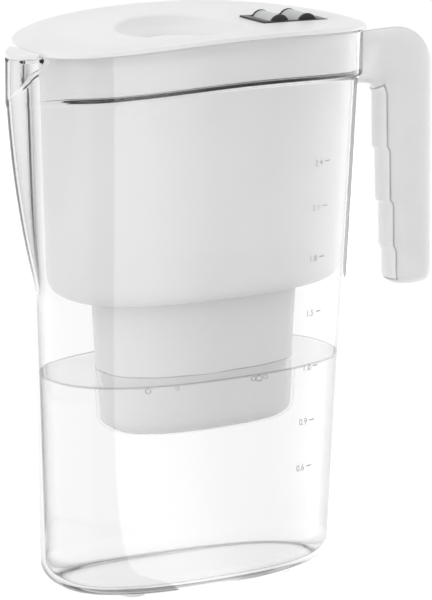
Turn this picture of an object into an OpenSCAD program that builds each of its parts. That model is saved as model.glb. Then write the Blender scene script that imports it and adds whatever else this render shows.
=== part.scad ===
// Oval water filter pitcher: clear jug with a pouring spout, lift-out funnel
// with a filter cartridge, and a lid with a fill flap and a change indicator.
// Units are millimetres, +Z is up, -X is the spout and +X is the handle.

/* [Jug] */
// Length of the jug's oval at the shoulder
jug_len_top = 170; // [160:1:180]
// Length of the jug's oval at the table
jug_len_base = 153; // [146:1:156]
// Width of the jug's oval at the shoulder
jug_w_top = 102; // [98:1:108]
// Width of the jug's oval at the table
jug_w_base = 81; // [78:1:86]
// Lean of the jug's axis towards the handle, from table to shoulder
jug_lean = 3.4; // [0:0.2:5]
// Height of the shoulder's step at its two ends
shoulder_z = 244; // [236:1:250]
// How far the band above the shoulder stands out
shoulder_step = 2; // [1.6:0.1:2.4]
// Height of the band between the shoulder and the rim
band_h = 21.4; // [19:0.2:24]
// Rise of the rim, shoulder and lid from their ends to their middle
arch_rise = 6.2; // [3:0.2:8]
// Thickness of the jug's wall
jug_wall = 2.6; // [2.2:0.1:3]
// Thickness of the jug's floor
jug_floor = 3.4; // [2.6:0.2:5]
// Radius of the jug's bottom edge
foot_round = 12; // [8:1:16]
// Squareness of every oval, 2 for an ellipse
oval_n = 2.5; // [2.2:0.05:2.8]

/* [Spout] */
// Reach of the spout beyond the oval, below the shoulder
spout_reach = 17.4; // [12:0.2:19]
// Half width over which the spout swells out of the oval
spout_half_w = 28; // [24:1:32]
// Height at which the spout fades into the wall
spout_foot_z = 145; // [130:1:170]

/* [Feet] */
// Height of the foot pads
pad_h = 1.6; // [1.2:0.1:2.4]
// Radius of the foot pads
pad_r = 7.5; // [6:0.5:8]
// Distance of the pads from the middle, along the jug
pad_x = 42; // [36:1:44]
// Distance of the pads from the middle, across the jug
pad_y = 17; // [14:1:18]

/* [Handle] */
// Farthest point of the handle from the jug's axis at the table
handle_reach = 139.5; // [134:0.5:144]
// Drop of the handle's top below the jug's rim
handle_top_drop = 2.4; // [0:0.2:6]
// Drop of the underside of the handle's root below the shoulder
handle_root_drop = 10.5; // [6:0.5:14]
// Lower end of the handle
handle_end_z = 131; // [120:1:145]
// Depth of the grip below the root
grip_depth = 31; // [28:0.5:33]
// Depth of the grip at its lower end
grip_end_depth = 24; // [20:0.5:28]
// Width of the handle
handle_w = 23; // [20:0.5:26]
// Radius of the handle's outer bend
handle_bend = 24; // [18:1:28]
// Depth of the soft insert in the grip
insert_depth = 3.2; // [3:0.1:4]
// Width of the soft insert in the grip
insert_w = 12.6; // [11.4:0.2:13]
// Depth of the cover strip on the back of the handle
strip_depth = 1.8; // [1.4:0.1:2.4]
// Width of the cover strip on the back of the handle
strip_w = 15.5; // [12:0.5:17]
// Width of the rail that carries the handle
rail_w = 10; // [8:0.5:12]
// Length of the rail beyond the jug's band
rail_len = 9; // [7:0.5:11]

/* [Funnel] */
// Gap between the funnel and the jug at the handle end
funnel_gap = 1; // [0.8:0.1:2]
// Gap between the funnel's front and the jug, for pouring
pour_gap = 5.4; // [4:0.2:9]
// Thickness of the funnel's wall
funnel_wall = 1.8; // [1.5:0.1:2.2]
// Height of the reservoir's floor, outside
reservoir_z = 144; // [138:1:150]
// Height of the cartridge cup's bottom, outside
cup_z = 77; // [70:1:84]
// Length of the cup's mouth, outside
cup_len = 106; // [98:1:112]
// Width of the cup's mouth, outside
cup_w = 60; // [54:1:64]
// Narrowing of the cup from mouth to bottom, on each side
cup_taper = 3.6; // [2:0.2:5]
// Distance of the cup's middle from the jug's axis, towards the handle
cup_x = 4; // [0:0.5:8]
// Radius of the cup's outlet
outlet_r = 9; // [6:0.5:12]

/* [Cartridge] */
// Clearance between cartridge and cup
cartridge_gap = 0.6; // [0.4:0.1:1]
// Thickness of the cartridge's wall
cartridge_wall = 1.4; // [1.2:0.1:2]
// Height of the cartridge's shell above the reservoir's floor
cartridge_rise = 3; // [2:0.5:6]
// Height of the cartridge's domed cap
cap_h = 7; // [5:0.5:10]
// Number of slots across the cap
cap_slots = 7; // [3:1:9]
// Width of a slot in the cap
cap_slot_w = 1.6; // [1:0.1:2.2]

/* [Lid] */
// Overhang of the lid beyond the jug's band
lid_overhang = 1.5; // [1:0.1:2.5]
// Extra reach of the lid over the spout's throat
lid_nose = 2.6; // [1:0.2:3.4]
// Thickness of the lid's plate
lid_t = 2.2; // [1.8:0.1:2.8]
// Depth of the lid's dish between its long edges
lid_dish = 3.2; // [1:0.2:3.6]
// Depth of the lid's skirt inside the funnel
skirt_h = 8; // [5:0.5:12]
// Thickness of the lid's skirt
skirt_t = 1.6; // [1.2:0.1:2]
// Gap between the lid and the rims that it lies on
lid_gap = 0.3; // [0.2:0.05:0.5]
// Gap between the lid's skirt and the funnel
skirt_gap = 0.5; // [0.3:0.1:0.8]

/* [Fill opening] */
// Distance of the fill opening from the jug's axis
fill_x = -3; // [-10:0.5:2]
// Radius of the fill recess at the lid's surface
fill_r = 31; // [27:0.5:33]
// Radius of the fill opening at the recess's bottom
fill_hole_r = 24; // [20:0.5:26]
// Depth of the fill recess
fill_depth = 9; // [7:0.5:12]
// Thickness of the fill flap
fill_flap_t = 1.6; // [1.2:0.1:2.4]
// Radius of the fill flap's hinge pin
fill_pin_r = 1.2; // [1:0.1:1.5]

/* [Spout flap] */
// Thickness of the spout flap
spout_flap_t = 2.4; // [1.8:0.1:2.8]
// Radius of the spout flap's hinge pin
spout_pin_r = 0.9; // [0.7:0.1:1.1]
// Half length of the spout flap's knuckle
spout_knuckle_y = 7; // [5:0.5:8]

/* [Indicator] */
// Length of the indicator's bezel along the lid
bezel_len = 37; // [35:0.5:40]
// Width of the indicator's bezel across the lid
bezel_w = 22.4; // [22:0.2:25]
// Distance of the bezel's middle from the jug's axis
bezel_x = 55.5; // [53:0.5:57]
// Tilt of the bezel with the lid's surface
bezel_tilt = 3; // [0:0.5:5]
// Radius of the indicator's wheels
wheel_r = 6; // [5:0.25:6.5]
// Length of the indicator's wheels
wheel_len = 18; // [14:0.5:18]
// Distance between the two wheels
wheel_pitch = 15.8; // [14:0.2:17]
// Depth of the wheels' axis below the bezel's face
wheel_sink = 3.1; // [2.5:0.1:4]
// Radius of the wheels' axle pins
axle_r = 1; // [0.8:0.1:1.4]

/* [Hidden] */

ring_n = 64;
core_n = 44;
guard_n = 36;
ring_bunch = 24;
clear_fit = 0.3;
guard_gap = 0.6;
handle_square = 0.55;
handle_narrow = 0.3;
run_fit = 0.05;
eps = 0.01;

arch_mid = 1;
arch_len = 89;
rim_edge = 0.6;

rim_z = shoulder_z + band_h;
handle_top_z = rim_z - handle_top_drop;
handle_root_z = shoulder_z - handle_root_drop;
band_len = jug_len_top / 2 + shoulder_step;
band_w = jug_w_top / 2 + shoulder_step;
band_x = jug_lean;
ledge_z = shoulder_z + 1.5;
step_h = 3;
spout_rings = 7;
side_gap = 1.2;
reservoir_round = 9;
cup_round = 7;
funnel_floor_z = reservoir_z + funnel_wall;
collar_gap = 0.9;

lid_low_z = rim_z + lid_gap;
lid_z = lid_low_z + lid_t;
lid_half_len = band_len + lid_overhang + lid_nose / 2;
lid_half_w = band_w + lid_overhang;
lid_x = band_x - lid_nose / 2;
lid_end_x = lid_x - lid_half_len;
fill_face_z = lid_z + arch_rise - lid_dish - 0.6;
fill_bottom_z = fill_face_z - fill_depth;
fill_wall = 1.6;
fill_flap_gap = 0.6;
fill_pin_x = fill_x + fill_hole_r + fill_wall;
fill_pin_z = fill_bottom_z - fill_pin_r - 1.2;
fill_knuckle_y = 8.6;
ear_t = 2.5;

spout_tip_x = band_x - band_len - spout_reach + shoulder_step;
spout_pin_x = lid_end_x + 1.6;
spout_pin_z = lid_low_z - 2.3;
spout_sweep_r = lid_t + 3.1;
spout_knuckle_r = spout_pin_r + 1.1;

bezel_proud = 0.5;
bezel_rim = 1;
housing_wall = 1.1;
housing_len = 2 * (wheel_pitch / 2 + wheel_r + 0.5);
housing_w = wheel_len + 0.4;
housing_depth = wheel_sink + wheel_r + 1.4;
wheel_disc_t = 1.3;
wheel_core_r = wheel_r - 1.5;
axle_len = housing_w + 2 * housing_wall;

body_x = (-spout_tip_x - handle_reach) / 2;

// ---- shared outlines ----

function lerp(a, b, t) = a + (b - a) * t;
function rounded(v) = sign(v) * pow(abs(v), 2 / oval_n);
function jug_a(z) = lerp(jug_len_base, jug_len_top, z / shoulder_z) / 2;
function jug_b(z) = lerp(jug_w_base, jug_w_top, z / shoulder_z) / 2;
function jug_x(z) = jug_lean * z / shoulder_z;
function arch_at(x) = 1 - pow((x - arch_mid) / arch_len, 2);

// How far the spout swells out of the oval at a height.
function spout_s(z) = min(1, max(0, (rim_z - z) / (rim_z - spout_foot_z)));
function spout_at(z) = spout_reach * pow(1 - pow(spout_s(z), 2), 0.8);
function spout_w_at(z) = spout_half_w * (1 - 0.35 * pow(spout_s(z), 2));
function swell(y, w) = pow(cos(90 * min(1, abs(y) / w)), 2);

// One closed outline of points round the jug, crowded together at the spout.
function ring(half_len, half_w, mid_x, z, arch = 0, spout = 0, spout_w = spout_half_w, n = ring_n) = [
    for (i = [0 : n - 1])
        let (u = 360 * i / n, t = u + ring_bunch * sin(u),
            across = half_w * rounded(sin(t)), along = half_len * rounded(cos(t)),
            x = mid_x + along - (along < 0 ? spout * swell(across, spout_w) : 0))
        [x, across, z + arch * arch_at(x)]
];

// A ring of the jug at a height, drawn in by an inset.
function jug_ring(z, inset, arch = 0) =
    ring(jug_a(z) - inset, jug_b(z) - inset, jug_x(z), z, arch, spout_at(z), spout_w_at(z));
function band_ring(z, inset) =
    ring(band_len - inset, band_w - inset, band_x, z, arch_rise, spout_reach - shoulder_step);

function side_faces(n, first, second) = [
    for (i = [0 : n - 1]) each [
        [first + i, second + i, second + (i + 1) % n],
        [first + i, second + (i + 1) % n, first + (i + 1) % n]]
];

// A solid through a stack of rings, closed by its first and last ring.
module loft(rings) {
    n = len(rings[0]);
    m = len(rings);
    polyhedron([for (r = rings) each r], concat(
        [[for (i = [0 : n - 1]) i]],
        [for (j = [0 : m - 2]) each side_faces(n, j * n, (j + 1) * n)],
        [[for (i = [n - 1 : -1 : 0]) (m - 1) * n + i]]));
}

// A ring-shaped solid whose last ring joins its first.
module loop_loft(rings) {
    n = len(rings[0]);
    m = len(rings);
    polyhedron([for (r = rings) each r],
        [for (j = [0 : m - 1]) each side_faces(n, j * n, ((j + 1) % m) * n)]);
}

module across_y(x, z) translate([x, 0, z]) rotate([90, 0, 0]) children();
module rod_y(r, length, x, z, facets = 48)
    across_y(x, z) cylinder(r = r, h = length, center = true, $fn = facets);
module box_at(low, high) translate(low) cube(high - low);
module both_sides() for (side = [0, 1]) mirror([0, side, 0]) children();

// ---- jug ----

spout_levels = [for (k = [0 : spout_rings - 1])
    lerp(spout_foot_z, shoulder_z - 8, pow(k / (spout_rings - 1), 1.4))];

function foot_rings(z0, radius, inset, angles) = [
    for (q = angles) jug_ring(z0 + radius * (1 - cos(q)), inset + radius * (1 - sin(q)))
];

function jug_outside() = concat(
    foot_rings(pad_h, foot_round, 0, [0, 30, 60, 90]),
    [for (z = spout_levels) jug_ring(z, 0)],
    [jug_ring(shoulder_z - step_h, 0, arch_rise), band_ring(shoulder_z, 0),
        band_ring(rim_z - rim_edge, 0), band_ring(rim_z, rim_edge)]);

function jug_inside() = concat(
    [band_ring(rim_z, jug_wall - rim_edge), band_ring(rim_z - rim_edge, jug_wall),
        band_ring(ledge_z, jug_wall), jug_ring(ledge_z, jug_wall, arch_rise)],
    [for (k = [spout_rings - 1 : -2 : 0]) jug_ring(spout_levels[k], jug_wall)],
    foot_rings(pad_h + jug_floor, foot_round - jug_wall, jug_wall, [90, 60, 30, 0]));

rail_x0 = band_x + band_len - jug_wall + 0.2;
rail_x1 = band_x + band_len + rail_len;
rail_z0 = handle_root_z + 4;
rail_z1 = handle_top_z - 6;

// The dovetail rail on the jug's end that the handle slides onto.
module handle_rail(gap)
    translate([0, 0, rail_z0 - gap])
        linear_extrude(rail_z1 - rail_z0 + 2 * gap)
            polygon([[rail_x0, -rail_w / 2 + 2 - gap], [rail_x1 + gap, -rail_w / 2 - gap],
                [rail_x1 + gap, rail_w / 2 + gap], [rail_x0, rail_w / 2 - 2 + gap]]);

module jug_body()
    color("aliceblue") {
        loft(concat(jug_outside(), jug_inside()));
        handle_rail(0);
    }

module foot_pads()
    color("whitesmoke")
        for (sx = [-1, 1], sy = [-1, 1])
            translate([sx * pad_x, sy * pad_y, 0]) {
                cylinder(r1 = pad_r - pad_h / 2, r2 = pad_r, h = pad_h / 2, $fn = 40);
                translate([0, 0, pad_h / 2]) cylinder(r = pad_r, h = pad_h / 2, $fn = 40);
            }

// ---- handle ----

grip_top_x = handle_reach - grip_depth;
grip_end_x = handle_reach - grip_end_depth;
root_bend = 8;
inner_bend_x = grip_top_x - root_bend;
inner_bend_z = handle_root_z - root_bend;
outer_bend_x = handle_reach - handle_bend;
outer_bend_z = handle_top_z - handle_bend;
finger_steps = [[0.5, 1.2], [0.74, 1]];
step_span = 0.03;
end_round = 6;
root_flare = 6;

function ease(t) = let (c = min(1, max(0, t))) c * c * (3 - 2 * c);
function finger(f) = [for (s = finger_steps) s[1] * ease((f - s[0]) / step_span)];
function total(v, i = 0) = i == len(v) ? 0 : v[i] + total(v, i + 1);
function grip_x(f) = lerp(grip_top_x, grip_end_x - total([for (s = finger_steps) s[1]]), f)
    + total(finger(f));

// Each rib is [inner point, outer point, width], with points as [x, z].
root_ribs = [
    [[jug_a(handle_root_z) - 2, handle_root_z], [jug_a(handle_root_z) - 2, handle_top_z],
        handle_w + root_flare],
    [[inner_bend_x - 2, handle_root_z], [outer_bend_x - 8, handle_top_z], handle_w + 1]
];
bend_ribs = [for (q = [90 : -15 : 0])
    [[inner_bend_x + root_bend * cos(q), inner_bend_z + root_bend * sin(q)],
        [outer_bend_x + handle_bend * cos(q), outer_bend_z + handle_bend * sin(q)], handle_w]];
grip_stops = [0.15, 0.3, 0.44, 0.5, 0.53, 0.62, 0.74, 0.77, 0.88];
grip_ribs = [for (f = grip_stops)
    [[grip_x(f), lerp(inner_bend_z, handle_end_z, f)],
        [handle_reach, lerp(outer_bend_z, handle_end_z, f)], handle_w]];
end_ribs = [for (q = [0, 35, 65, 90])
    let (inset = end_round * (1 - cos(q)), z = handle_end_z + end_round * (1 - sin(q)))
    [[grip_end_x + inset, z], [handle_reach - inset, z], handle_w - 2 * inset]];
handle_ribs = concat(root_ribs, bend_ribs, grip_ribs, end_ribs);

// The strip and the insert run beside these ribs.
strip_first = 0.36;
grip_first = 6;
strip_last = len(handle_ribs) - 3;
strip_turn = asin(pow(strip_w / handle_w, 1 / handle_square));
insert_turn = asin(pow(insert_w / handle_w / (1 - handle_narrow), 1 / handle_square));
flank_turns = [strip_turn, 46, 68, 90, 112, 132, 180 - insert_turn];

function rib_at(k) = let (i = min(floor(k), len(handle_ribs) - 2), f = k - i)
    handle_ribs[i] * (1 - f) + handle_ribs[i + 1] * f;
function rib_depth(rib) = norm(rib[1] - rib[0]);

// A point of a rib's outline, as [depth from its inner end, y].
function rib_edge(rib, turn) =
    let (q = sign(cos(turn)) * pow(abs(cos(turn)), handle_square),
        r = sign(sin(turn)) * pow(abs(sin(turn)), handle_square))
    [rib_depth(rib) * (1 + q) / 2, r * rib[2] / 2 * (1 - handle_narrow * pow((1 - q) / 2, 2))];
function rib_place(rib, points) =
    let (d = (rib[1] - rib[0]) / rib_depth(rib))
    [for (p = points) [rib[0][0] + d[0] * p[0], p[1], rib[0][1] + d[1] * p[0]]];
function mirrored(points) = [for (k = [len(points) - 1 : -1 : 0]) [points[k][0], -points[k][1]]];

// Corners of the strip's seat and of the insert's seat in a rib.
function strip_seat(rib) = [rib_depth(rib) - strip_depth, rib_edge(rib, strip_turn)[1]];
function insert_seat(rib) = [insert_depth, rib_edge(rib, 180 - insert_turn)[1]];

function frame_ring(rib, strip, insert) =
    let (flank = [for (t = flank_turns) rib_edge(rib, t)],
        outer = [strip ? strip_seat(rib) : rib_edge(rib, strip_turn / 2)],
        inner = [insert ? insert_seat(rib) : rib_edge(rib, 180 - insert_turn / 2)])
    rib_place(rib, concat(flank, inner, mirrored(inner), mirrored(flank), mirrored(outer), outer));

module handle_sweep()
    loft(concat(
        [for (k = [0 : grip_first - 1]) frame_ring(rib_at(k), true, false)],
        [frame_ring(rib_at(grip_first - 0.05), true, false)],
        [for (k = [grip_first : strip_last]) frame_ring(rib_at(k), true, true)],
        [frame_ring(rib_at(strip_last + 0.05), false, false)],
        [for (k = [strip_last + 1 : len(handle_ribs) - 1]) frame_ring(rib_at(k), false, false)]));

module grip_sweep()
    loft([for (k = [grip_first : strip_last])
        let (rib = rib_at(k), seat = [insert_seat(rib)])
        rib_place(rib, concat(
            [for (q = [-1 : 0.5 : 1]) rib_edge(rib, 180 + q * insert_turn)], mirrored(seat), seat))]);

module strip_sweep()
    loft([for (k = concat([strip_first], [for (i = [1 : strip_last]) i]))
        let (rib = rib_at(k), seat = [strip_seat(rib)])
        rib_place(rib, concat(
            [for (q = [-1 : 0.5 : 1]) rib_edge(rib, q * strip_turn)], seat, mirrored(seat)))]);

// The space that the jug's end takes up, with a gap.
function jug_guard(z, gap, arch = 0) = ring(jug_a(z) + gap, jug_b(z) + gap, jug_x(z), z, arch, n = guard_n);
function band_guard(z, gap) = ring(band_len + gap, band_w + gap, band_x, z, arch_rise, n = guard_n);
module jug_end(gap)
    loft([jug_guard(handle_root_z - 30, gap), jug_guard(shoulder_z - step_h, gap, arch_rise),
        band_guard(shoulder_z - gap, gap), band_guard(rim_z + 20, gap)]);

module handle_frame()
    color("white")
        difference() {
            handle_sweep();
            jug_end(guard_gap);
            handle_rail(run_fit);
        }

module handle_grip() color("gainsboro") grip_sweep();

module handle_strip() color("whitesmoke") strip_sweep();

// ---- funnel ----

function funnel_front(z) = jug_x(z) - jug_a(z) + jug_wall + pour_gap;
function funnel_back(z) = jug_x(z) + jug_a(z) - jug_wall - funnel_gap;
function funnel_ring(z, inset, arch = 0) =
    ring((funnel_back(z) - funnel_front(z)) / 2 - inset, jug_b(z) - jug_wall - side_gap - inset,
        (funnel_back(z) + funnel_front(z)) / 2, z, arch);

collar_back = band_x + band_len - jug_wall - collar_gap;
collar_half_len = (collar_back - funnel_front(shoulder_z)) / 2;
collar_half_w = band_w - jug_wall - collar_gap;
collar_x = (collar_back + funnel_front(shoulder_z)) / 2;
function collar_ring(z, inset) =
    ring(collar_half_len - inset, collar_half_w - inset, collar_x, z, arch_rise);

function cup_ring(z, inset, n = ring_n) =
    let (narrow = cup_taper * (reservoir_z - z) / (reservoir_z - cup_z))
    ring(cup_len / 2 - narrow - inset, cup_w / 2 - narrow - inset, cup_x, z, n = n);
function cup_foot(z0, radius, inset, angles, n = ring_n) = [
    for (q = angles) cup_ring(z0 + radius * (1 - cos(q)), inset + radius * (1 - sin(q)), n)
];
function reservoir_foot(z0, radius, inset, angles) = [
    for (q = angles) funnel_ring(z0 + radius * (1 - cos(q)), inset + radius * (1 - sin(q)))
];

collar_low_z = ledge_z + clear_fit;
collar_top_z = rim_z - 1;

module funnel()
    color("white")
        difference() {
            loft(concat(
                cup_foot(cup_z, cup_round, 0, [0, 45, 90]),
                [cup_ring(reservoir_z, 0)],
                reservoir_foot(reservoir_z, reservoir_round, 0, [0, 30, 60, 90]),
                [funnel_ring(collar_low_z, 0, arch_rise), collar_ring(collar_low_z, 0),
                    collar_ring(collar_top_z, 0), collar_ring(collar_top_z, funnel_wall),
                    collar_ring(collar_low_z + funnel_wall, funnel_wall),
                    funnel_ring(collar_low_z + funnel_wall, funnel_wall, arch_rise)],
                reservoir_foot(funnel_floor_z, reservoir_round - funnel_wall, funnel_wall, [90, 60, 30, 0]),
                [cup_ring(funnel_floor_z, funnel_wall)],
                cup_foot(cup_z + funnel_wall, cup_round - funnel_wall, funnel_wall, [90, 45, 0])));
            translate([cup_x, 0, cup_z - 1])
                cylinder(r = outlet_r, h = funnel_wall + 2, $fn = 64);
        }

// ---- cartridge ----

shell_inset = funnel_wall + cartridge_gap;
shell_low_z = cup_z + funnel_wall + clear_fit;
shell_top_z = funnel_floor_z + cartridge_rise;
lip_low_z = funnel_floor_z + 1.6;
lip_reach = 2.2;
seal_inset = 0.5;
shell_round = cup_round - funnel_wall;
media_gap = 0.1;
fleece_t = 2;
sieve_t = 0.8;
sieve_r = outlet_r + 2;
media_low_z = shell_low_z + cartridge_wall + sieve_t;
media_top_z = shell_top_z - fleece_t;

// Rings of the cartridge, drawn in from its outer surface.
function core_ring(z, inset) = cup_ring(z, shell_inset + inset, core_n);
function core_foot(z0, inset, angles) =
    cup_foot(z0, shell_round - inset, shell_inset + inset, angles, core_n);
function lip_ring(z, inset) =
    ring(cup_len / 2 + lip_reach - inset, cup_w / 2 + lip_reach - inset, cup_x, z, n = core_n);
media_inset = cartridge_wall + media_gap;

module cartridge_shell()
    color("white")
        difference() {
            loft(concat(
                core_foot(shell_low_z, 0, [0, 45, 90]),
                [core_ring(lip_low_z, 0), lip_ring(lip_low_z, 0), lip_ring(shell_top_z, 0),
                    core_ring(shell_top_z, cartridge_wall)],
                core_foot(shell_low_z + cartridge_wall, cartridge_wall, [90, 45, 0])));
            translate([cup_x, 0, shell_low_z - 1])
                cylinder(r = outlet_r - 1, h = cartridge_wall + 2, $fn = 64);
        }

module cap_dome(drop)
    loft([for (q = [0, 30, 55, 75])
        lip_ring(shell_top_z + (cap_h - drop) * sin(q), drop + (cup_w / 2 - 8) * (1 - cos(q)))]);

module cartridge_cap()
    color("whitesmoke")
        difference() {
            cap_dome(0);
            translate([0, 0, -eps]) cap_dome(cartridge_wall);
            for (k = [0 : cap_slots - 1])
                translate([cup_x + (k - (cap_slots - 1) / 2) * cup_len * 0.5 / cap_slots, 0, shell_top_z + cap_h])
                    cube([cap_slot_w, cup_w * 0.42, 3 * cap_h], center = true);
        }

module cartridge_seal()
    color("silver")
        loop_loft([lip_ring(funnel_floor_z, seal_inset), lip_ring(lip_low_z, seal_inset),
            core_ring(lip_low_z, -media_gap), core_ring(funnel_floor_z, -media_gap)]);

module filter_media()
    color("dimgray")
        loft(concat(core_foot(media_low_z, media_inset, [0, 45, 90]), [core_ring(media_top_z, media_inset)]));

module upper_fleece()
    color("ivory")
        loft([core_ring(media_top_z, media_inset), core_ring(shell_top_z, media_inset)]);

module lower_sieve()
    color("lightgray")
        translate([cup_x, 0, shell_low_z + cartridge_wall])
            cylinder(r = sieve_r, h = sieve_t, $fn = 64);

// ---- lid ----

function lid_dish_at(share) = lid_dish * max(0, 1 - pow(share / lid_flat, 2));
function lid_ring(share, z, inset = 0) = ring(lid_half_len * share - inset, lid_half_w * share - inset,
    lid_x, z - lid_dish_at(share), arch_rise);
function lid_core(z) = ring(lid_half_len * 0.08, lid_half_w * 0.08, lid_x, z + arch_rise - lid_dish);
lid_flat = 0.91;
lid_shares = [0.4, 0.7, lid_flat];
lid_edge = 0.7;

module lid_plate()
    loft(concat(
        [lid_core(lid_low_z)],
        [for (s = lid_shares) lid_ring(s, lid_low_z)],
        [lid_ring(1, lid_low_z, lid_edge), lid_ring(1, lid_low_z + lid_edge),
            lid_ring(1, lid_z - lid_edge), lid_ring(1, lid_z, lid_edge)],
        [for (k = [len(lid_shares) - 1 : -1 : 0]) lid_ring(lid_shares[k], lid_z)],
        [lid_core(lid_z)]));

function skirt_ring(z, inset) = ring(collar_half_len - funnel_wall - skirt_gap - inset,
    collar_half_w - funnel_wall - skirt_gap - inset, collar_x, z, arch_rise);
skirt_top_z = lid_low_z + 0.7;

module lid_skirt()
    loop_loft([skirt_ring(skirt_top_z - skirt_h, 0), skirt_ring(skirt_top_z, 0),
        skirt_ring(skirt_top_z, skirt_t), skirt_ring(skirt_top_z - skirt_h, skirt_t)]);

module fill_cone(grow, top)
    translate([fill_x, 0, fill_bottom_z])
        rotate_extrude($fn = 96)
            polygon([[0, 0], [fill_hole_r + grow, 0], [fill_hole_r + grow, 2.4],
                [fill_r + grow, fill_depth], [fill_r + grow, fill_depth + top], [0, fill_depth + top]]);

module fill_ears()
    both_sides()
        box_at([fill_pin_x - ear_t, fill_knuckle_y + clear_fit, fill_pin_z - ear_t],
            [fill_pin_x + ear_t, fill_knuckle_y + clear_fit + ear_t, fill_bottom_z + 4]);

module spout_ears()
    both_sides()
        translate([0, spout_knuckle_y + clear_fit + 1, 0]) {
            rod_y(spout_knuckle_r, 2, spout_pin_x, spout_pin_z);
            translate([spout_pin_x, -1, spout_pin_z - spout_knuckle_r])
                cube([5, 2, lid_low_z + 0.6 - spout_pin_z + spout_knuckle_r]);
        }

module in_bezel() translate([bezel_x, 0, bezel_z]) rotate([0, bezel_tilt, 0]) children();
bezel_share = (bezel_x - lid_x) / lid_half_len;
bezel_z = lid_z + arch_rise * arch_at(bezel_x) - lid_dish_at(bezel_share) + bezel_proud;

module lid_shell()
    color("white")
        difference() {
            union() {
                lid_plate();
                lid_skirt();
                fill_cone(fill_wall, 0);
                fill_ears();
                spout_ears();
            }
            fill_cone(0, 6);
            translate([fill_x, 0, fill_bottom_z - 1]) cylinder(r = fill_hole_r, h = 3, $fn = 96);
            rod_y(fill_pin_r, 40, fill_pin_x, fill_pin_z);
            rod_y(spout_pin_r, 40, spout_pin_x, spout_pin_z);
            in_bezel() {
                translate([0, 0, -6])
                    cube([housing_len + 2 * housing_wall + 0.4, housing_w + 2 * housing_wall + 0.4, 16],
                        center = true);
                cube([bezel_len + 0.6, bezel_w + 0.6, 2 * bezel_rim + 0.2], center = true);
            }
        }

fill_flap_low_z = fill_bottom_z + 0.2;
fill_flap_r = fill_hole_r - fill_flap_gap;
fill_knuckle_r = fill_pin_r + 0.9;

module fill_flap()
    color("gainsboro")
        difference() {
            union() {
                translate([fill_x, 0, fill_flap_low_z]) cylinder(r = fill_flap_r, h = fill_flap_t, $fn = 96);
                rod_y(fill_knuckle_r, 2 * fill_knuckle_y, fill_pin_x, fill_pin_z);
                box_at([fill_pin_x - 12, -fill_knuckle_y + 0.6, fill_bottom_z - 2],
                    [fill_pin_x - 5, fill_knuckle_y - 0.6, fill_flap_low_z + 0.3]);
                box_at([fill_pin_x - 12, -fill_knuckle_y + 0.6, fill_bottom_z - 2],
                    [fill_pin_x, fill_knuckle_y - 0.6, fill_bottom_z - 0.4]);
            }
            rod_y(fill_pin_r + run_fit, 40, fill_pin_x, fill_pin_z);
        }

module fill_flap_pin()
    color("silver") rod_y(fill_pin_r, 2 * (fill_knuckle_y + clear_fit + ear_t), fill_pin_x, fill_pin_z);

// The flap's outline: the part of the spout's rim ahead of the lid.
flap_back_x = spout_pin_x - 2.2;
spout_arm_x = spout_pin_x - spout_sweep_r - 1.2;
spout_arm_y = spout_knuckle_y - 3;
flap_inset = 0.2;
flap_points = [for (p = band_ring(0, flap_inset)) if (p[0] < flap_back_x) p];
flap_low_z = rim_z + clear_fit;

module spout_plate() {
    n = len(flap_points);
    low = [for (p = flap_points) [p[0], p[1], flap_low_z + arch_rise * arch_at(p[0])]];
    high = [for (p = low) p + [0, 0, spout_flap_t]];
    polyhedron(concat(low, high), concat(
        [for (i = [1 : n - 2]) [0, i, i + 1]],
        side_faces(n, 0, n),
        [for (i = [1 : n - 2]) [n, n + i + 1, n + i]]));
}

module spout_flap()
    color("white")
        difference() {
            union() {
                difference() {
                    spout_plate();
                    rod_y(spout_sweep_r, 60, spout_pin_x, spout_pin_z);
                }
                rod_y(spout_knuckle_r, 2 * spout_knuckle_y, spout_pin_x, spout_pin_z);
                box_at([spout_arm_x, -spout_arm_y, spout_pin_z - spout_knuckle_r + 0.2],
                    [spout_pin_x, spout_arm_y, spout_pin_z - 0.4]);
                box_at([spout_arm_x, -spout_arm_y, spout_pin_z - spout_knuckle_r + 0.2],
                    [spout_arm_x + 1.2, spout_arm_y, flap_low_z + 0.4]);
            }
            rod_y(spout_pin_r + run_fit, 40, spout_pin_x, spout_pin_z);
        }

module spout_flap_pin()
    color("dimgray") rod_y(spout_pin_r, 2 * (spout_knuckle_y + clear_fit + 2), spout_pin_x, spout_pin_z);

// ---- indicator ----

module indicator_bezel()
    color("black")
        in_bezel()
            difference() {
                union() {
                    translate([0, 0, -bezel_rim / 2]) cube([bezel_len, bezel_w, bezel_rim], center = true);
                    translate([0, 0, -housing_depth / 2])
                        cube([housing_len + 2 * housing_wall, housing_w + 2 * housing_wall, housing_depth],
                            center = true);
                }
                translate([0, 0, -housing_depth / 2])
                    cube([housing_len, housing_w, housing_depth + 2], center = true);
                for (side = [-1, 1])
                    rod_y(axle_r, axle_len + 2, side * wheel_pitch / 2, -wheel_sink);
            }

module wheel(side)
    color("black")
        in_bezel()
            difference() {
                union() {
                    rod_y(wheel_core_r, wheel_len, side * wheel_pitch / 2, -wheel_sink);
                    both_sides()
                        translate([0, (wheel_len - wheel_disc_t) / 2, 0])
                            rod_y(wheel_r, wheel_disc_t, side * wheel_pitch / 2, -wheel_sink, 64);
                }
                rod_y(axle_r + run_fit, wheel_len + 2, side * wheel_pitch / 2, -wheel_sink);
            }

module wheel_sleeve(side)
    color("lightgray")
        in_bezel()
            difference() {
                rod_y(wheel_r - 0.2, wheel_len - 2 * wheel_disc_t, side * wheel_pitch / 2, -wheel_sink, 64);
                rod_y(wheel_core_r, wheel_len, side * wheel_pitch / 2, -wheel_sink);
            }

module day_wheel() wheel(-1);
module month_wheel() wheel(1);
module day_scale() wheel_sleeve(-1);
module month_scale() wheel_sleeve(1);

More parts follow.
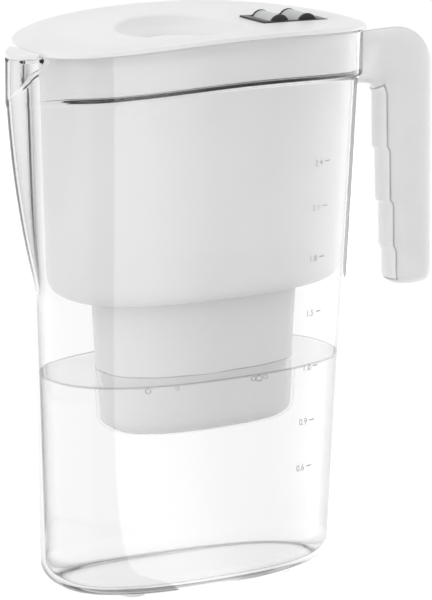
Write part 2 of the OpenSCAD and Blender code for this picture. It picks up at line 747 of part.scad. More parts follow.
module wheel_axles()
    color("silver")
        in_bezel()
            for (side = [-1, 1]) rod_y(axle_r, axle_len, side * wheel_pitch / 2, -wheel_sink);

// The whole is centred along its length, from spout tip to handle.
module placed() translate([body_x, 0, 0]) children();

placed() jug_body();
placed() foot_pads();
placed() handle_frame();
placed() handle_grip();
placed() handle_strip();
placed() funnel();
placed() cartridge_shell();
placed() cartridge_cap();
placed() cartridge_seal();
placed() filter_media();
placed() upper_fleece();
placed() lower_sieve();
placed() lid_shell();
placed() fill_flap();
placed() fill_flap_pin();
placed() spout_flap();
placed() spout_flap_pin();
placed() indicator_bezel();
placed() day_wheel();
placed() day_scale();
placed() month_wheel();
placed() month_scale();
placed() wheel_axles();
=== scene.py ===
"""Looks of the water filter pitcher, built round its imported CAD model.

Sizes are in millimetres in the pitcher's own axes (X from the middle of the jug's base) until
a mesh is made, which scales them to metres and moves them by BODY_X into the frame.
"""
import math

import bmesh
import bpy
from mathutils import Matrix, Vector

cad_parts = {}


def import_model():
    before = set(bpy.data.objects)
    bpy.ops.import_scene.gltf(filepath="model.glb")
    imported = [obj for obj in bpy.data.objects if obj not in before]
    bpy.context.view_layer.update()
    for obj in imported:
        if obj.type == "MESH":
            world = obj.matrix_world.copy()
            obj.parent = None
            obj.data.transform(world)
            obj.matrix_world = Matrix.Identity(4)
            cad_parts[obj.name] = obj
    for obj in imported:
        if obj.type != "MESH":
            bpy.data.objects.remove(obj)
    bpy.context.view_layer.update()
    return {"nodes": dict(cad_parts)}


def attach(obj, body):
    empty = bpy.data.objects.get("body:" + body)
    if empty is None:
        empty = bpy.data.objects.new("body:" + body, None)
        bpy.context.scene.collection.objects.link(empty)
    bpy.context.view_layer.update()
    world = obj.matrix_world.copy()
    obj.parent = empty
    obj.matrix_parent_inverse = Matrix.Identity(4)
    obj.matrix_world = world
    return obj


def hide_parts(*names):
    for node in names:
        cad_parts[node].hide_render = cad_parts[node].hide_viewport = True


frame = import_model()

# ---- driving sizes, as in the CAD model ----

MM = 0.001
JUG_LEN_TOP, JUG_LEN_BASE = 170, 153
JUG_W_TOP, JUG_W_BASE = 102, 81
JUG_LEAN = 3.4
SHOULDER_Z, SHOULDER_STEP, STEP_H = 244, 2, 3
RIM_Z = 265.4
ARCH_RISE, ARCH_MID, ARCH_LEN = 6.2, 1, 89
JUG_WALL, JUG_FLOOR, FOOT_ROUND = 2.6, 3.4, 12
OVAL_N = 2.5
SPOUT_REACH, SPOUT_HALF_W, SPOUT_FOOT_Z = 17.4, 28, 145
PAD_H = 1.6
HANDLE_REACH, HANDLE_TOP_Z, HANDLE_ROOT_Z, HANDLE_END_Z = 139.5, 263, 233.5, 131
GRIP_DEPTH, GRIP_END_DEPTH, HANDLE_W, HANDLE_BEND = 31, 24, 23, 24
INSERT_DEPTH, INSERT_W, STRIP_DEPTH, STRIP_W = 3.2, 12.6, 1.8, 15.5
FUNNEL_GAP, POUR_GAP, FUNNEL_WALL, SIDE_GAP = 1, 5.4, 1.8, 1.2
RESERVOIR_Z, CUP_Z, CUP_LEN, CUP_W, CUP_TAPER, CUP_X = 144, 77, 106, 60, 3.6, 4
RESERVOIR_ROUND, CUP_ROUND, COLLAR_GAP = 9, 7, 0.9
LID_GAP, LID_T, LID_DISH, LID_FLAT, LID_OVERHANG, LID_NOSE = 0.3, 2.2, 3.2, 0.91, 1.5, 2.6
FILL_X, FILL_R, FILL_HOLE_R, FILL_DEPTH, FILL_WALL = -3, 31, 24, 9, 1.6
SKIRT_H, SKIRT_T, SKIRT_GAP = 8, 1.6, 0.5
BEZEL_X, BEZEL_LEN, BEZEL_W, BEZEL_TILT = 55.5, 37, 22.4, 3
WHEEL_R, WHEEL_LEN, WHEEL_PITCH, WHEEL_SINK = 6, 18, 15.8, 3.1
LEDGE_RISE, SPOUT_PIN_IN, SPOUT_PIN_DROP, FILL_FACE_DROP, FILL_PIN_DROP = 1.5, 1.6, 2.3, 0.6, 2.4

# ---- driving sizes that only the scene has ----

WATER_Z = 106.4
# The shoulder's dark line, painted shade along the step: its height over the step, its half width, its two
# ends and their fade.
LINE_LIFT, LINE_HALF, LINE_FROM_X, LINE_TO_X, LINE_FADE = -0.1, 0.5, -79, 76, 2
# Litre marks as (number, height), then the dashes' right end at the lowest and at the highest mark.
MARKS = (("0.6", 56), ("0.9", 79), ("1.2", 106), ("1.5", 133), ("1.8", 160), ("2.1", 185), ("2.4", 207))
MARK_X_LOW, MARK_X_TOP, MARK_LEN, MARK_H, DIGIT_SIZE, MARK_GAP = 47.5, 54, 3.2, 0.6, 4.4, 1.6
# Air bubbles as (place along the jug, radius).
BUBBLES = ((-44, 1.5), (-30, 1.1), (12, 1.3), (15.5, 1.7), (19, 1.2), (47, 1.1))

# ---- derived sizes ----

BAND_LEN, BAND_W, BAND_X = JUG_LEN_TOP / 2 + SHOULDER_STEP, JUG_W_TOP / 2 + SHOULDER_STEP, JUG_LEAN
LEDGE_Z = SHOULDER_Z + LEDGE_RISE
SPOUT_TIP_X = BAND_X - BAND_LEN - SPOUT_REACH + SHOULDER_STEP
BODY_X = (-SPOUT_TIP_X - HANDLE_REACH) / 2
LID_LOW_Z = RIM_Z + LID_GAP
LID_Z = LID_LOW_Z + LID_T
LID_HALF_LEN = BAND_LEN + LID_OVERHANG + LID_NOSE / 2
LID_HALF_W = BAND_W + LID_OVERHANG
LID_X = BAND_X - LID_NOSE / 2
LID_END_X = LID_X - LID_HALF_LEN
SPOUT_PIN_X, SPOUT_PIN_Z = LID_END_X + SPOUT_PIN_IN, LID_LOW_Z - SPOUT_PIN_DROP
FILL_FACE_Z = LID_Z + ARCH_RISE - LID_DISH - FILL_FACE_DROP
FILL_BOTTOM_Z = FILL_FACE_Z - FILL_DEPTH
FILL_PIN_X, FILL_PIN_Z = FILL_X + FILL_HOLE_R + FILL_WALL, FILL_BOTTOM_Z - FILL_PIN_DROP

# Points in a ring, and how far they bunch towards its two ends, in degrees.
RING_N, RING_BUNCH = 192, 24
# Above this height the walls take on the arch of the rim.
ARCH_FROM_Z = 190
SPOUT_SWELL_POWER, SPOUT_FOOT_NARROW = 0.8, 0.35


# ---- shared outlines ----

def lerp(a, b, t):
    return a + (b - a) * t


def ease(t):
    t = min(1.0, max(0.0, t))
    return t * t * (3 - 2 * t)


def rounded(v, power=2 / OVAL_N):
    """A sine or cosine turned into the squarer one of a rounded outline."""
    return math.copysign(abs(v) ** power, v)


def jug_a(z):
    return lerp(JUG_LEN_BASE, JUG_LEN_TOP, z / SHOULDER_Z) / 2


def jug_b(z):
    return lerp(JUG_W_BASE, JUG_W_TOP, z / SHOULDER_Z) / 2


def jug_x(z):
    return JUG_LEAN * z / SHOULDER_Z


def arch_at(x):
    return 1 - ((x - ARCH_MID) / ARCH_LEN) ** 2


def spout_s(z):
    """How far down the spout a height lies: 0 at the rim, 1 at the spout's foot."""
    return min(1.0, max(0.0, (RIM_Z - z) / (RIM_Z - SPOUT_FOOT_Z)))


def spout_at(z):
    return SPOUT_REACH * (1 - spout_s(z) ** 2) ** SPOUT_SWELL_POWER


def spout_w_at(z):
    return SPOUT_HALF_W * (1 - SPOUT_FOOT_NARROW * spout_s(z) ** 2)


def ring(half_len, half_w, mid_x, z, arch=0.0, spout=0.0, spout_w=SPOUT_HALF_W):
    """A rounded oval round the pitcher, with the spout's swell at its end and the rim's arch."""
    points = []
    for i in range(RING_N):
        u = 2 * math.pi * i / RING_N
        t = u + math.radians(RING_BUNCH) * math.sin(u)
        across, along = half_w * rounded(math.sin(t)), half_len * rounded(math.cos(t))
        swell = math.cos(math.pi / 2 * min(1, abs(across) / spout_w)) ** 2 if along < 0 else 0
        x = mid_x + along - spout * swell
        points.append(Vector((x, across, z + arch * arch_at(x))))
    return points


def jug_ring(z, inset, arch=0.0):
    return ring(jug_a(z) - inset, jug_b(z) - inset, jug_x(z), z, arch, spout_at(z), spout_w_at(z))


def band_ring(z, inset):
    return ring(BAND_LEN - inset, BAND_W - inset, BAND_X, z, ARCH_RISE, SPOUT_REACH - SHOULDER_STEP)


def mixed(first, second, t, z_share=None):
    """A ring between two others; its height may be mixed by another share than its outline."""
    z_share = t if z_share is None else z_share
    return [Vector((lerp(a.x, b.x, t), lerp(a.y, b.y, t), lerp(a.z, b.z, z_share)))
            for a, b in zip(first, second)]


def turns(count, start=0.0, end=90.0):
    return [math.radians(lerp(start, end, k / count)) for k in range(count + 1)]


def round_rings(ring_at, low_z, inset, radius, angles):
    """Rings of a rounded foot, from its flat bottom up to the wall."""
    return [ring_at(low_z + radius * (1 - math.cos(q)), inset + radius * (1 - math.sin(q))) for q in angles]


def level_rings(ring_at, start, end, inset, count):
    """Rings up or down a wall, without the one at its start."""
    return [ring_at(lerp(start, end, k / count), inset) for k in range(1, count + 1)]


def arched_rings(ring_at, start, top, inset, count):
    """Rings up a wall that is level below and takes on the rim's arch above."""
    rings = []
    for k in range(1, count + 1):
        z = lerp(start, top, k / count)
        rings.append(ring_at(z, inset, ARCH_RISE * ease((z - ARCH_FROM_Z) / (top - ARCH_FROM_Z))))
    return rings


def step_rings(lower, upper, count):
    """Rings over a softened step from one ring to another."""
    return [mixed(lower, upper, ease(k / count), k / count) for k in range(1, count + 1)]


# ---- meshes ----

WELD = 1e-7


def in_frame(points):
    """Points of the pitcher's own axes, in millimetres, as the frame's, in metres."""
    return [((p[0] + BODY_X) * MM, p[1] * MM, p[2] * MM) for p in points]


def turn_outward(mesh, weld=0.0):
    """Turn a mesh's faces outward, after welding points that lie closer than a distance."""
    bm = bmesh.new()
    bm.from_mesh(mesh)
    if weld:
        bmesh.ops.remove_doubles(bm, verts=bm.verts, dist=weld)
    bmesh.ops.recalc_face_normals(bm, faces=bm.faces)
    bm.to_mesh(mesh)
    bm.free()


def smooth(mesh, sharp):
    """Smooth shading, apart from edges where faces meet at more than an angle."""
    for face in mesh.polygons:
        face.use_smooth = True
    mesh.set_sharp_from_angle(angle=math.radians(sharp))


def new_object(name, data):
    made = bpy.data.objects.new(name, data)
    bpy.context.scene.collection.objects.link(made)
    return made


def make(name, verts, faces, body, look, slot_name, node=None, sharp=32):
    """One piece of the scene from points in millimetres."""
    mesh = bpy.data.meshes.new(name)
    mesh.from_pydata(in_frame(verts), [], faces)
    mesh.validate()
    turn_outward(mesh, WELD)
    smooth(mesh, sharp)
    mesh.materials.append(look)
    piece = new_object(name, mesh)
    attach(piece, body)
    if node:
        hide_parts(node)
    return piece


def loft_data(rings, closed=False):
    """A skin over rings, capped at both ends or closed back onto its first ring."""
    n = len(rings[0])
    verts = [p for r in rings for p in r]
    faces = []
    count = len(rings) if closed else len(rings) - 1
    for j in range(count):
        a, b = j * n, ((j + 1) % len(rings)) * n
        for i in range(n):
            k = (i + 1) % n
            faces.append((a + i, b + i, b + k, a + k))
    if not closed:
        faces.append(tuple(range(n)))
        faces.append(tuple((len(rings) - 1) * n + i for i in reversed(range(n))))
    return verts, faces


def rod_data(r, length, x, z, y=0.0, facets=64, bevel=0.0):
    """A rod along Y with softened ends."""
    half = length / 2
    profile = [(-half, r - bevel), (-half + bevel, r), (half - bevel, r), (half, r - bevel)]
    rings = [[Vector((x + q * math.sin(t), y + p, z + q * math.cos(t)))
              for t in [2 * math.pi * i / facets for i in range(facets)]] for p, q in profile]
    return loft_data(rings)


def disc_data(profile, x, y=0.0, facets=128):
    """A turned solid about a vertical axis from (radius, z) points, first and last on the axis."""
    verts, faces = [Vector((x, y, profile[0][1]))], []
    inner = profile[1:-1]
    for r, z in inner:
        for i in range(facets):
            t = 2 * math.pi * i / facets
            verts.append(Vector((x + r * math.cos(t), y + r * math.sin(t), z)))
    verts.append(Vector((x, y, profile[-1][1])))
    last = len(verts) - 1
    for i in range(facets):
        k = (i + 1) % facets
        faces.append((0, 1 + i, 1 + k))
        faces.append((last, last - facets + k, last - facets + i))
        for j in range(len(inner) - 1):
            a, b = 1 + j * facets, 1 + (j + 1) * facets
            faces.append((a + i, b + i, b + k, a + k))
    return verts, faces


def joined(*parts):
    """Several meshes as one, each given as (points, faces)."""
    verts, faces = [], []
    for part_verts, part_faces in parts:
        base = len(verts)
        verts += part_verts
        faces += [tuple(base + i for i in face) for face in part_faces]
    return verts, faces


def moved(part, matrix):
    return [matrix @ Vector(v) for v in part[0]], part[1]


def box_data(low, high, bevel=0.0):
    """A box between two corners, with its edges rounded."""
    bm = bmesh.new()
    bmesh.ops.create_cube(bm, size=1)
    size = Vector(high) - Vector(low)
    centre = (Vector(high) + Vector(low)) / 2
    for v in bm.verts:
        v.co = Vector((v.co.x * size.x, v.co.y * size.y, v.co.z * size.z)) + centre
    if bevel:
        bmesh.ops.bevel(bm, geom=list(bm.edges), offset=bevel, segments=3, profile=0.5, affect="EDGES")
    verts = [v.co.copy() for v in bm.verts]
    faces = [tuple(v.index for v in f.verts) for f in bm.faces]
    bm.free()
    return verts, faces


def cut(piece, cutter_data, sharp):
    """Take a closed mesh, given in millimetres, out of a piece."""
    mesh = bpy.data.meshes.new("cutter")
    mesh.from_pydata(in_frame(cutter_data[0]), [], cutter_data[1])
    turn_outward(mesh)
    cutter = new_object("cutter", mesh)
    modifier = piece.modifiers.new("cut", "BOOLEAN")
    modifier.object = cutter
    modifier.operation = "DIFFERENCE"
    modifier.solver = "EXACT"
    bpy.context.view_layer.update()
    piece.data = bpy.data.meshes.new_from_object(piece.evaluated_get(bpy.context.evaluated_depsgraph_get()))
    piece.modifiers.clear()
    bpy.data.objects.remove(cutter)
    smooth(piece.data, sharp)


# ---- materials ----

CLOUD_SCALE, MILK_SCALE, DRAWN_SCALE = 60.0, 25.0, 700.0
GRAIN_SCALE, GRAIN_DEPTH = 1800.0, 0.0002
# Clear walls: how much of the turn away it takes to reach the edge's painted shade, and their ripple and
# shine.
TURN_SPAN, RIPPLE_SCALE, RIPPLE_DEPTH, SHINE_ROUGHNESS = 0.38, 14.0, 0.002, 0.04
# LINE_SHADE is the near-black of the painted shade lines.
SHADOW_TINT, LINE_SHADE = (0.99, 0.99, 0.99, 1), (0.05, 0.05, 0.055, 1)
# The dark line of painted shade: its soft edge runs from the first to the second share of its half width.
LINE_SOFT_FROM, LINE_SOFT_TO = 1.5, 0.6
# The water's rim of painted shade: where it starts and is full, against the water's edge, the steepest
# normal, its strength.
EDGE_FROM, EDGE_TO, EDGE_UPRIGHT, EDGE_SHADE = -0.8, 0.2, 0.6, 0.45


def material(name):
    made = bpy.data.materials.new(name)
    made.use_nodes = True
    tree = made.node_tree
    return made, tree, tree.nodes["Principled BSDF"]


def add(tree, kind, **values):
    """A new shader node with values on its sockets, whose names are given with _ for a space."""
    made = tree.nodes.new("ShaderNode" + kind)
    for socket, value in values.items():
        made.inputs[socket.replace("_", " ")].default_value = value
    return made


def feed(tree, value, socket):
    """Put a number on a socket, or link another socket to it."""
    if isinstance(value, (int, float)):
        socket.default_value = value
    else:
        tree.links.new(value, socket)


def maths(tree, operation, first, second=0.0):
    """One sum of sockets or numbers."""
    made = add(tree, "Math")
    made.operation = operation
    feed(tree, first, made.inputs[0])
    feed(tree, second, made.inputs[1])
    return made.outputs[0]


def mixed_shaders(tree, share, first, second):
    """Two shaders in one, with the second one's share as a number or a socket."""
    made = add(tree, "MixShader")
    feed(tree, share, made.inputs["Fac"])
    feed(tree, first, made.inputs[1])
    feed(tree, second, made.inputs[2])
    return made.outputs["Shader"]


def object_place(tree):
    """The shaded point's place in the frame, split into X, Y and Z."""
    split = add(tree, "SeparateXYZ")
    feed(tree, add(tree, "TexCoord").outputs["Object"], split.inputs[0])
    return split.outputs


def noise(tree, scale, detail=3.0):
    texture = add(tree, "TexNoise", Scale=scale, Detail=detail)
    feed(tree, add(tree, "TexCoord").outputs["Object"], texture.inputs["Vector"])
    return texture.outputs["Fac"]


def ramp(tree, source, low, high, start=0.35, end=0.65):
    """A colour that goes from low to high as the source goes from start to end."""
    made = add(tree, "ValToRGB")
    for stop, position, colour in zip(made.color_ramp.elements, (start, end), (low, high)):
        stop.position = position
        stop.color = (*colour, 1)
    feed(tree, source, made.inputs["Fac"])
    return made.outputs["Color"]


def bump(tree, source, strength, distance, *shaders):
    made = add(tree, "Bump", Strength=strength, Distance=distance)
    feed(tree, source, made.inputs["Height"])
    for shader in shaders:
        feed(tree, made.outputs["Normal"], shader.inputs["Normal"])


def plastic(name, low, high, roughness, scale=CLOUD_SCALE, grain=0.02, coat=0.0):
    """Moulded plastic: a faint cloudiness in its colour and a fine grain on its surface."""
    made, tree, shader = material(name)
    feed(tree, ramp(tree, noise(tree, scale), low, high), shader.inputs["Base Color"])
    shader.inputs["Roughness"].default_value = roughness
    shader.inputs["Coat Weight"].default_value = coat
    bump(tree, noise(tree, GRAIN_SCALE, 2.0), grain, GRAIN_DEPTH, shader)
    return made


def fade(tree, length, start, end, kind="SMOOTHSTEP"):
    """0 where a length is at start and 1 where it is at end, both in millimetres."""
    made = add(tree, "MapRange", From_Min=start * MM, From_Max=end * MM)
    made.interpolation_type = kind
    feed(tree, length, made.inputs["Value"])
    return made.outputs["Result"]


def shoulder_shade_line(tree):
    """Painted shade along the thick step at the shoulder, as a dark line: 1 on the line, 0 elsewhere."""
    place = object_place(tree)
    along = maths(tree, "SUBTRACT", place["X"], (ARCH_MID + BODY_X) * MM)
    squared = maths(tree, "POWER", maths(tree, "ABSOLUTE", along), 2)
    bow = maths(tree, "MULTIPLY", squared, ARCH_RISE * MM / (ARCH_LEN * MM) ** 2)
    line_z = (SHOULDER_Z + LINE_LIFT + ARCH_RISE) * MM
    off = maths(tree, "ADD", maths(tree, "SUBTRACT", place["Z"], line_z), bow)
    near = fade(tree, maths(tree, "ABSOLUTE", off), LINE_HALF * LINE_SOFT_FROM, LINE_HALF * LINE_SOFT_TO)
    middle = (LINE_FROM_X + LINE_TO_X) / 2 + BODY_X
    reach = (LINE_TO_X - LINE_FROM_X) / 2
    from_middle = maths(tree, "SUBTRACT", place["X"], middle * MM)
    ends = fade(tree, maths(tree, "ABSOLUTE", from_middle), reach + LINE_FADE, reach, "LINEAR")
    return maths(tree, "MULTIPLY", near, ends)


def water_rim_shade(tree):
    """Painted shade: a darker rim where the water climbs the wall."""
    near = fade(tree, object_place(tree)["Z"], WATER_Z + EDGE_FROM, WATER_Z + EDGE_TO)
    facing = add(tree, "SeparateXYZ")
    feed(tree, add(tree, "NewGeometry").outputs["Normal"], facing.inputs[0])
    steepness = maths(tree, "ABSOLUTE", facing.outputs["Z"])
    upright = maths(tree, "LESS_THAN", steepness, EDGE_UPRIGHT)
    return maths(tree, "MULTIPLY", maths(tree, "MULTIPLY", near, upright), EDGE_SHADE)


def clear(name, face, edge, bend, gloss_ior, wave=0.0, line=None, turn_from=0.55):
    """Clear plastic or water: it bends what lies behind a little, and its colour is painted darker where it
    turns away, as painted shade.
    """
    made, tree, shader = material(name)
    tree.nodes.remove(shader)
    weight = add(tree, "LayerWeight", Blend=0.5)
    # Painted shade: the colour goes from the face's to the darker edge's as the surface turns away.
    colour = ramp(tree, weight.outputs["Facing"], face, edge, turn_from, turn_from + TURN_SPAN)
    # A dark line of painted shade, mixed over that colour.
    if line:
        dark = add(tree, "Mix")
        dark.data_type = "RGBA"
        dark.inputs["B"].default_value = LINE_SHADE
        feed(tree, line(tree), dark.inputs["Factor"])
        feed(tree, colour, dark.inputs["A"])
        colour = dark.outputs["Result"]
    bent = add(tree, "BsdfGlass", IOR=bend, Roughness=0.0)
    shine = add(tree, "BsdfAnisotropic", Roughness=SHINE_ROUGHNESS)
    feed(tree, colour, bent.inputs["Color"])
    bump(tree, noise(tree, RIPPLE_SCALE, 1.0), wave, RIPPLE_DEPTH, bent, shine)
    fresnel = add(tree, "Fresnel", IOR=gloss_ior)
    front = maths(tree, "SUBTRACT", 1.0, add(tree, "NewGeometry").outputs["Backfacing"])
    gloss = maths(tree, "MULTIPLY", fresnel.outputs["Fac"], front)
    glassy = mixed_shaders(tree, gloss, bent.outputs["BSDF"], shine.outputs["BSDF"])
    through = add(tree, "BsdfTransparent", Color=SHADOW_TINT)
    path = add(tree, "LightPath")
    unseen = maths(tree, "MAXIMUM", path.outputs["Is Shadow Ray"], path.outputs["Is Diffuse Ray"])
    surface = mixed_shaders(tree, unseen, glassy, through.outputs["BSDF"])
    feed(tree, surface, tree.nodes["Material Output"].inputs["Surface"])
    return made


def milky(name, low, high, see_through, glow_share, roughness=0.3):
    """Translucent white plastic: part plain surface, part light let through, part see-through."""
    made, tree, shader = material(name)
    colour = ramp(tree, noise(tree, MILK_SCALE), low, high)
    glow, through = add(tree, "BsdfTranslucent"), add(tree, "BsdfTransparent")
    feed(tree, colour, shader.inputs["Base Color"])
    feed(tree, colour, glow.inputs["Color"])
    shader.inputs["Roughness"].default_value = roughness
    body = mixed_shaders(tree, glow_share, shader.outputs["BSDF"], glow.outputs["BSDF"])
    surface = mixed_shaders(tree, see_through, body, through.outputs["BSDF"])
    feed(tree, surface, tree.nodes["Material Output"].inputs["Surface"])
    return made


def steel(name):
    made, tree, shader = material(name)
    drawn = ramp(tree, noise(tree, DRAWN_SCALE, 1.0), (0.45, 0.45, 0.46), (0.6, 0.6, 0.61))
    feed(tree, drawn, shader.inputs["Base Color"])
    shader.inputs["Metallic"].default_value = 1.0
    shader.inputs["Roughness"].default_value = 0.35
    return made


# The jug's clear plastic holds the shoulder's dark line of painted shade.
CLEAR = clear("clear_plastic", (0.986, 0.986, 0.986), (0.5, 0.5, 0.51), 1.1, 1.45, line=shoulder_shade_line)
# The water holds a darker rim of painted shade where it climbs the wall.
WATER = clear("water", (0.992, 0.992, 0.992), (0.88, 0.88, 0.88), 1.08, 1.6, 0.25, line=water_rim_shade)
# The second colour of each clear look is painted shade where it turns away; the bubbles' is nearly black.
BUBBLE = clear("air_bubble", (0.99, 0.99, 0.99), (0.1, 0.1, 0.1), 1.1, 1.33, turn_from=0.3)
FROSTED = milky("frosted_plastic", (0.965, 0.965, 0.967), (0.98, 0.98, 0.982), 0.34, 0.7)
LID_WHITE = milky("lid_white", (0.9, 0.9, 0.903), (0.92, 0.92, 0.922), 0.0, 0.4)
CUP_WHITE = plastic("cartridge_white", (0.88, 0.88, 0.882), (0.9, 0.9, 0.902), 0.4)
WHITE = plastic("white_plastic", (0.89, 0.89, 0.893), (0.91, 0.91, 0.912), 0.35, coat=0.1)
# The handle frame's white plastic, painted darker to stand in for the shade on its flank.
HANDLE_SHADED_WHITE = plastic("handle_white_painted_shade", (0.69, 0.69, 0.693), (0.71, 0.71, 0.713), 0.4)
SOFT = plastic("soft_white", (0.86, 0.86, 0.862), (0.88, 0.88, 0.882), 0.55, grain=0.06)
# Grey of the seam beads, painted shade in the handle's seams.
SEAM_SHADE_GREY = plastic("seam_painted_shade", (0.44, 0.44, 0.443), (0.5, 0.5, 0.503), 0.6)
MARK_GREY = plastic("mark_grey", (0.3, 0.3, 0.305), (0.36, 0.36, 0.365), 0.5)
LID_GREY = plastic("flap_grey", (0.74, 0.745, 0.75), (0.78, 0.785, 0.79), 0.35)
BLACK = plastic("black_plastic", (0.012, 0.012, 0.013), (0.022, 0.022, 0.024), 0.35, grain=0.05)
SCALE_GREY = plastic("scale_grey", (0.36, 0.365, 0.37), (0.44, 0.445, 0.45), 0.3)
RUBBER = plastic("foot_rubber", (0.74, 0.75, 0.76), (0.8, 0.81, 0.815), 0.6, grain=0.08)
MEDIA = plastic("filter_media", (0.01, 0.01, 0.01), (0.06, 0.06, 0.065), 0.9, scale=900.0, grain=0.6)
FLEECE = plastic("fleece", (0.8, 0.79, 0.76), (0.88, 0.87, 0.85), 0.95, scale=400.0, grain=0.5)
STEEL = steel("pin_steel")
NODE_LOOKS = {
    "foot_pads": RUBBER, "cartridge_shell": CUP_WHITE, "cartridge_cap": CUP_WHITE, "cartridge_seal": RUBBER,
    "filter_media": MEDIA, "upper_fleece": FLEECE, "lower_sieve": FLEECE, "fill_flap_pin": STEEL,
    "spout_flap_pin": STEEL, "wheel_axles": STEEL,
}
for node_name, look in NODE_LOOKS.items():
    for held in frame["nodes"][node_name].material_slots:
        held.material = look


# ---- jug ----

RIM_ROUND = 1.1
FOOT_N, WALL_N, STEP_N, RIM_N = 12, 56, 8, 5
# The upright rail behind the handle's root: its half width, its reach, and its ends off the handle's own.
RAIL_HALF_W, RAIL_SINK, RAIL_REACH, RAIL_LOW, RAIL_HIGH = 4, 0.2, 9, 4, 6


def jug_wall_rings(inset, low_z, radius):
    """Rings up one side of the jug's wall, from its foot to just under the rim."""
    top = SHOULDER_Z - STEP_H if inset == 0 else LEDGE_Z - 1
    rings = round_rings(jug_ring, low_z, inset, radius, turns(FOOT_N))
    rings += arched_rings(jug_ring, low_z + radius, top, inset, WALL_N)
    return rings + step_rings(rings[-1], band_ring(SHOULDER_Z if inset == 0 else LEDGE_Z, inset), STEP_N)


def rim_rings(inset, outside):
    """Rings round the rounded rim, outer half or inner half."""
    angles = turns(RIM_N) if outside else reversed(turns(RIM_N))
    sign = 1 if outside else -1
    base = RIM_ROUND if outside else inset - RIM_ROUND
    return [band_ring(RIM_Z - RIM_ROUND + RIM_ROUND * math.sin(q), base - sign * RIM_ROUND * math.cos(q))
            for q in angles]


def jug():
    outside = jug_wall_rings(0, PAD_H, FOOT_ROUND)
    inside = jug_wall_rings(JUG_WALL, PAD_H + JUG_FLOOR, FOOT_ROUND - JUG_WALL)
    shell = loft_data(outside + rim_rings(0, True) + rim_rings(JUG_WALL, False) + inside[::-1])
    rail = box_data((BAND_X + BAND_LEN - JUG_WALL + RAIL_SINK, -RAIL_HALF_W, HANDLE_ROOT_Z + RAIL_LOW),
                    (BAND_X + BAND_LEN + RAIL_REACH, RAIL_HALF_W, HANDLE_TOP_Z - RAIL_HIGH), 0.5)
    make("jug_shell", *joined(shell, rail), "jug", CLEAR, "clear_plastic", "jug_body")


jug()


# ---- handle ----

GRIP_TOP_X, GRIP_END_X = HANDLE_REACH - GRIP_DEPTH, HANDLE_REACH - GRIP_END_DEPTH
ROOT_BEND = 8
INNER_BEND = (GRIP_TOP_X - ROOT_BEND, HANDLE_ROOT_Z - ROOT_BEND)
OUTER_BEND = (HANDLE_REACH - HANDLE_BEND, HANDLE_TOP_Z - HANDLE_BEND)
FINGER_STEPS = ((0.26, 1.7), (0.54, 1.9), (0.786, 1.7))
STEP_SPAN = 0.03
END_ROUND = 6
HANDLE_SQUARE, HANDLE_NARROW = 0.72, 0.3
ROOT_GAP, ROOT_SWELL = 0.6, 4.8
# Ribs over the root, round the elbow, down the grip and round its end, and the grip's share of its height.
ROOT_RIBS, ELBOW_RIBS, GRIP_RIBS, END_RIBS, GRIP_SHARE = 8, 18, 46, 8, 0.925
# The insert starts at this rib, and both it and the strip stop this many ribs before the end.
INSERT_FROM_RIB, BARE_END_RIBS = 20, 6
INSERT_SINK = INSERT_DEPTH - 1.5
# Shares of the half turn that the strip, the insert, their grooves and the seams beside them take up.
STRIP_FILL, INSERT_FILL, GROOVE_AT, STRIP_SEAM_AT, INSERT_SEAM_AT = 0.92, 0.88, 0.985, 0.953, 0.935
FLANK_STEPS, GROOVE_STEPS, FACE_STEPS = 28, 10, 14
# Each seam's half turn and how far its bead of painted shade lies under the surface.
STRIP_BEAD, INSERT_BEAD = (0.02, 0.12), (0.03, -0.12)


def grip_x(f):
    """The grip's inner side at a share of its way down, with the steps for the fingers."""
    steps = sum(size * ease((f - at) / STEP_SPAN) for at, size in FINGER_STEPS)
    return lerp(GRIP_TOP_X, GRIP_END_X - sum(size for _, size in FINGER_STEPS), f) + steps


def handle_ribs():
    """Ribs as (inner point, outer point, width), from the jug's end to the free lower end."""
    ribs = []
    root_x = BAND_X + BAND_LEN + ROOT_GAP
    for k in range(ROOT_RIBS + 1):
        t = k / ROOT_RIBS
        ribs.append(((lerp(root_x, INNER_BEND[0] - 1, t), HANDLE_ROOT_Z),
                     (lerp(root_x, OUTER_BEND[0] - 4, t), HANDLE_TOP_Z),
                     HANDLE_W + ROOT_SWELL * (1 - ease(t))))
    for q in reversed(turns(ELBOW_RIBS)):
        ribs.append(((INNER_BEND[0] + ROOT_BEND * math.cos(q), INNER_BEND[1] + ROOT_BEND * math.sin(q)),
                     (OUTER_BEND[0] + HANDLE_BEND * math.cos(q), OUTER_BEND[1] + HANDLE_BEND * math.sin(q)),
                     HANDLE_W))
    for k in range(1, GRIP_RIBS + 1):
        f = k / GRIP_RIBS * GRIP_SHARE
        ribs.append(((grip_x(f), lerp(INNER_BEND[1], HANDLE_END_Z, f)),
                     (HANDLE_REACH, lerp(OUTER_BEND[1], HANDLE_END_Z, f)), HANDLE_W))
    for q in turns(END_RIBS):
        inset, z = END_ROUND * (1 - math.cos(q)), HANDLE_END_Z + END_ROUND * (1 - math.sin(q))
        ribs.append(((GRIP_END_X + inset, z), (HANDLE_REACH - inset, z), HANDLE_W - 2 * inset))
    return ribs


def rib_edge(rib, turn):
    """A point of a rib's section as (depth from its inner side, y), at a turn from its outer side."""
    (x0, z0), (x1, z1), width = rib
    depth = math.hypot(x1 - x0, z1 - z0)
    q, r = rounded(math.cos(turn), HANDLE_SQUARE), rounded(math.sin(turn), HANDLE_SQUARE)
    return depth * (1 + q) / 2, r * width / 2 * (1 - HANDLE_NARROW * ((1 - q) / 2) ** 2)


def rib_place(rib, points):
    """Points of a rib's section as points of the pitcher."""
    (x0, z0), (x1, z1), _ = rib
    depth = math.hypot(x1 - x0, z1 - z0)
    return [Vector((x0 + (x1 - x0) / depth * d, y, z0 + (z1 - z0) / depth * d)) for d, y in points]


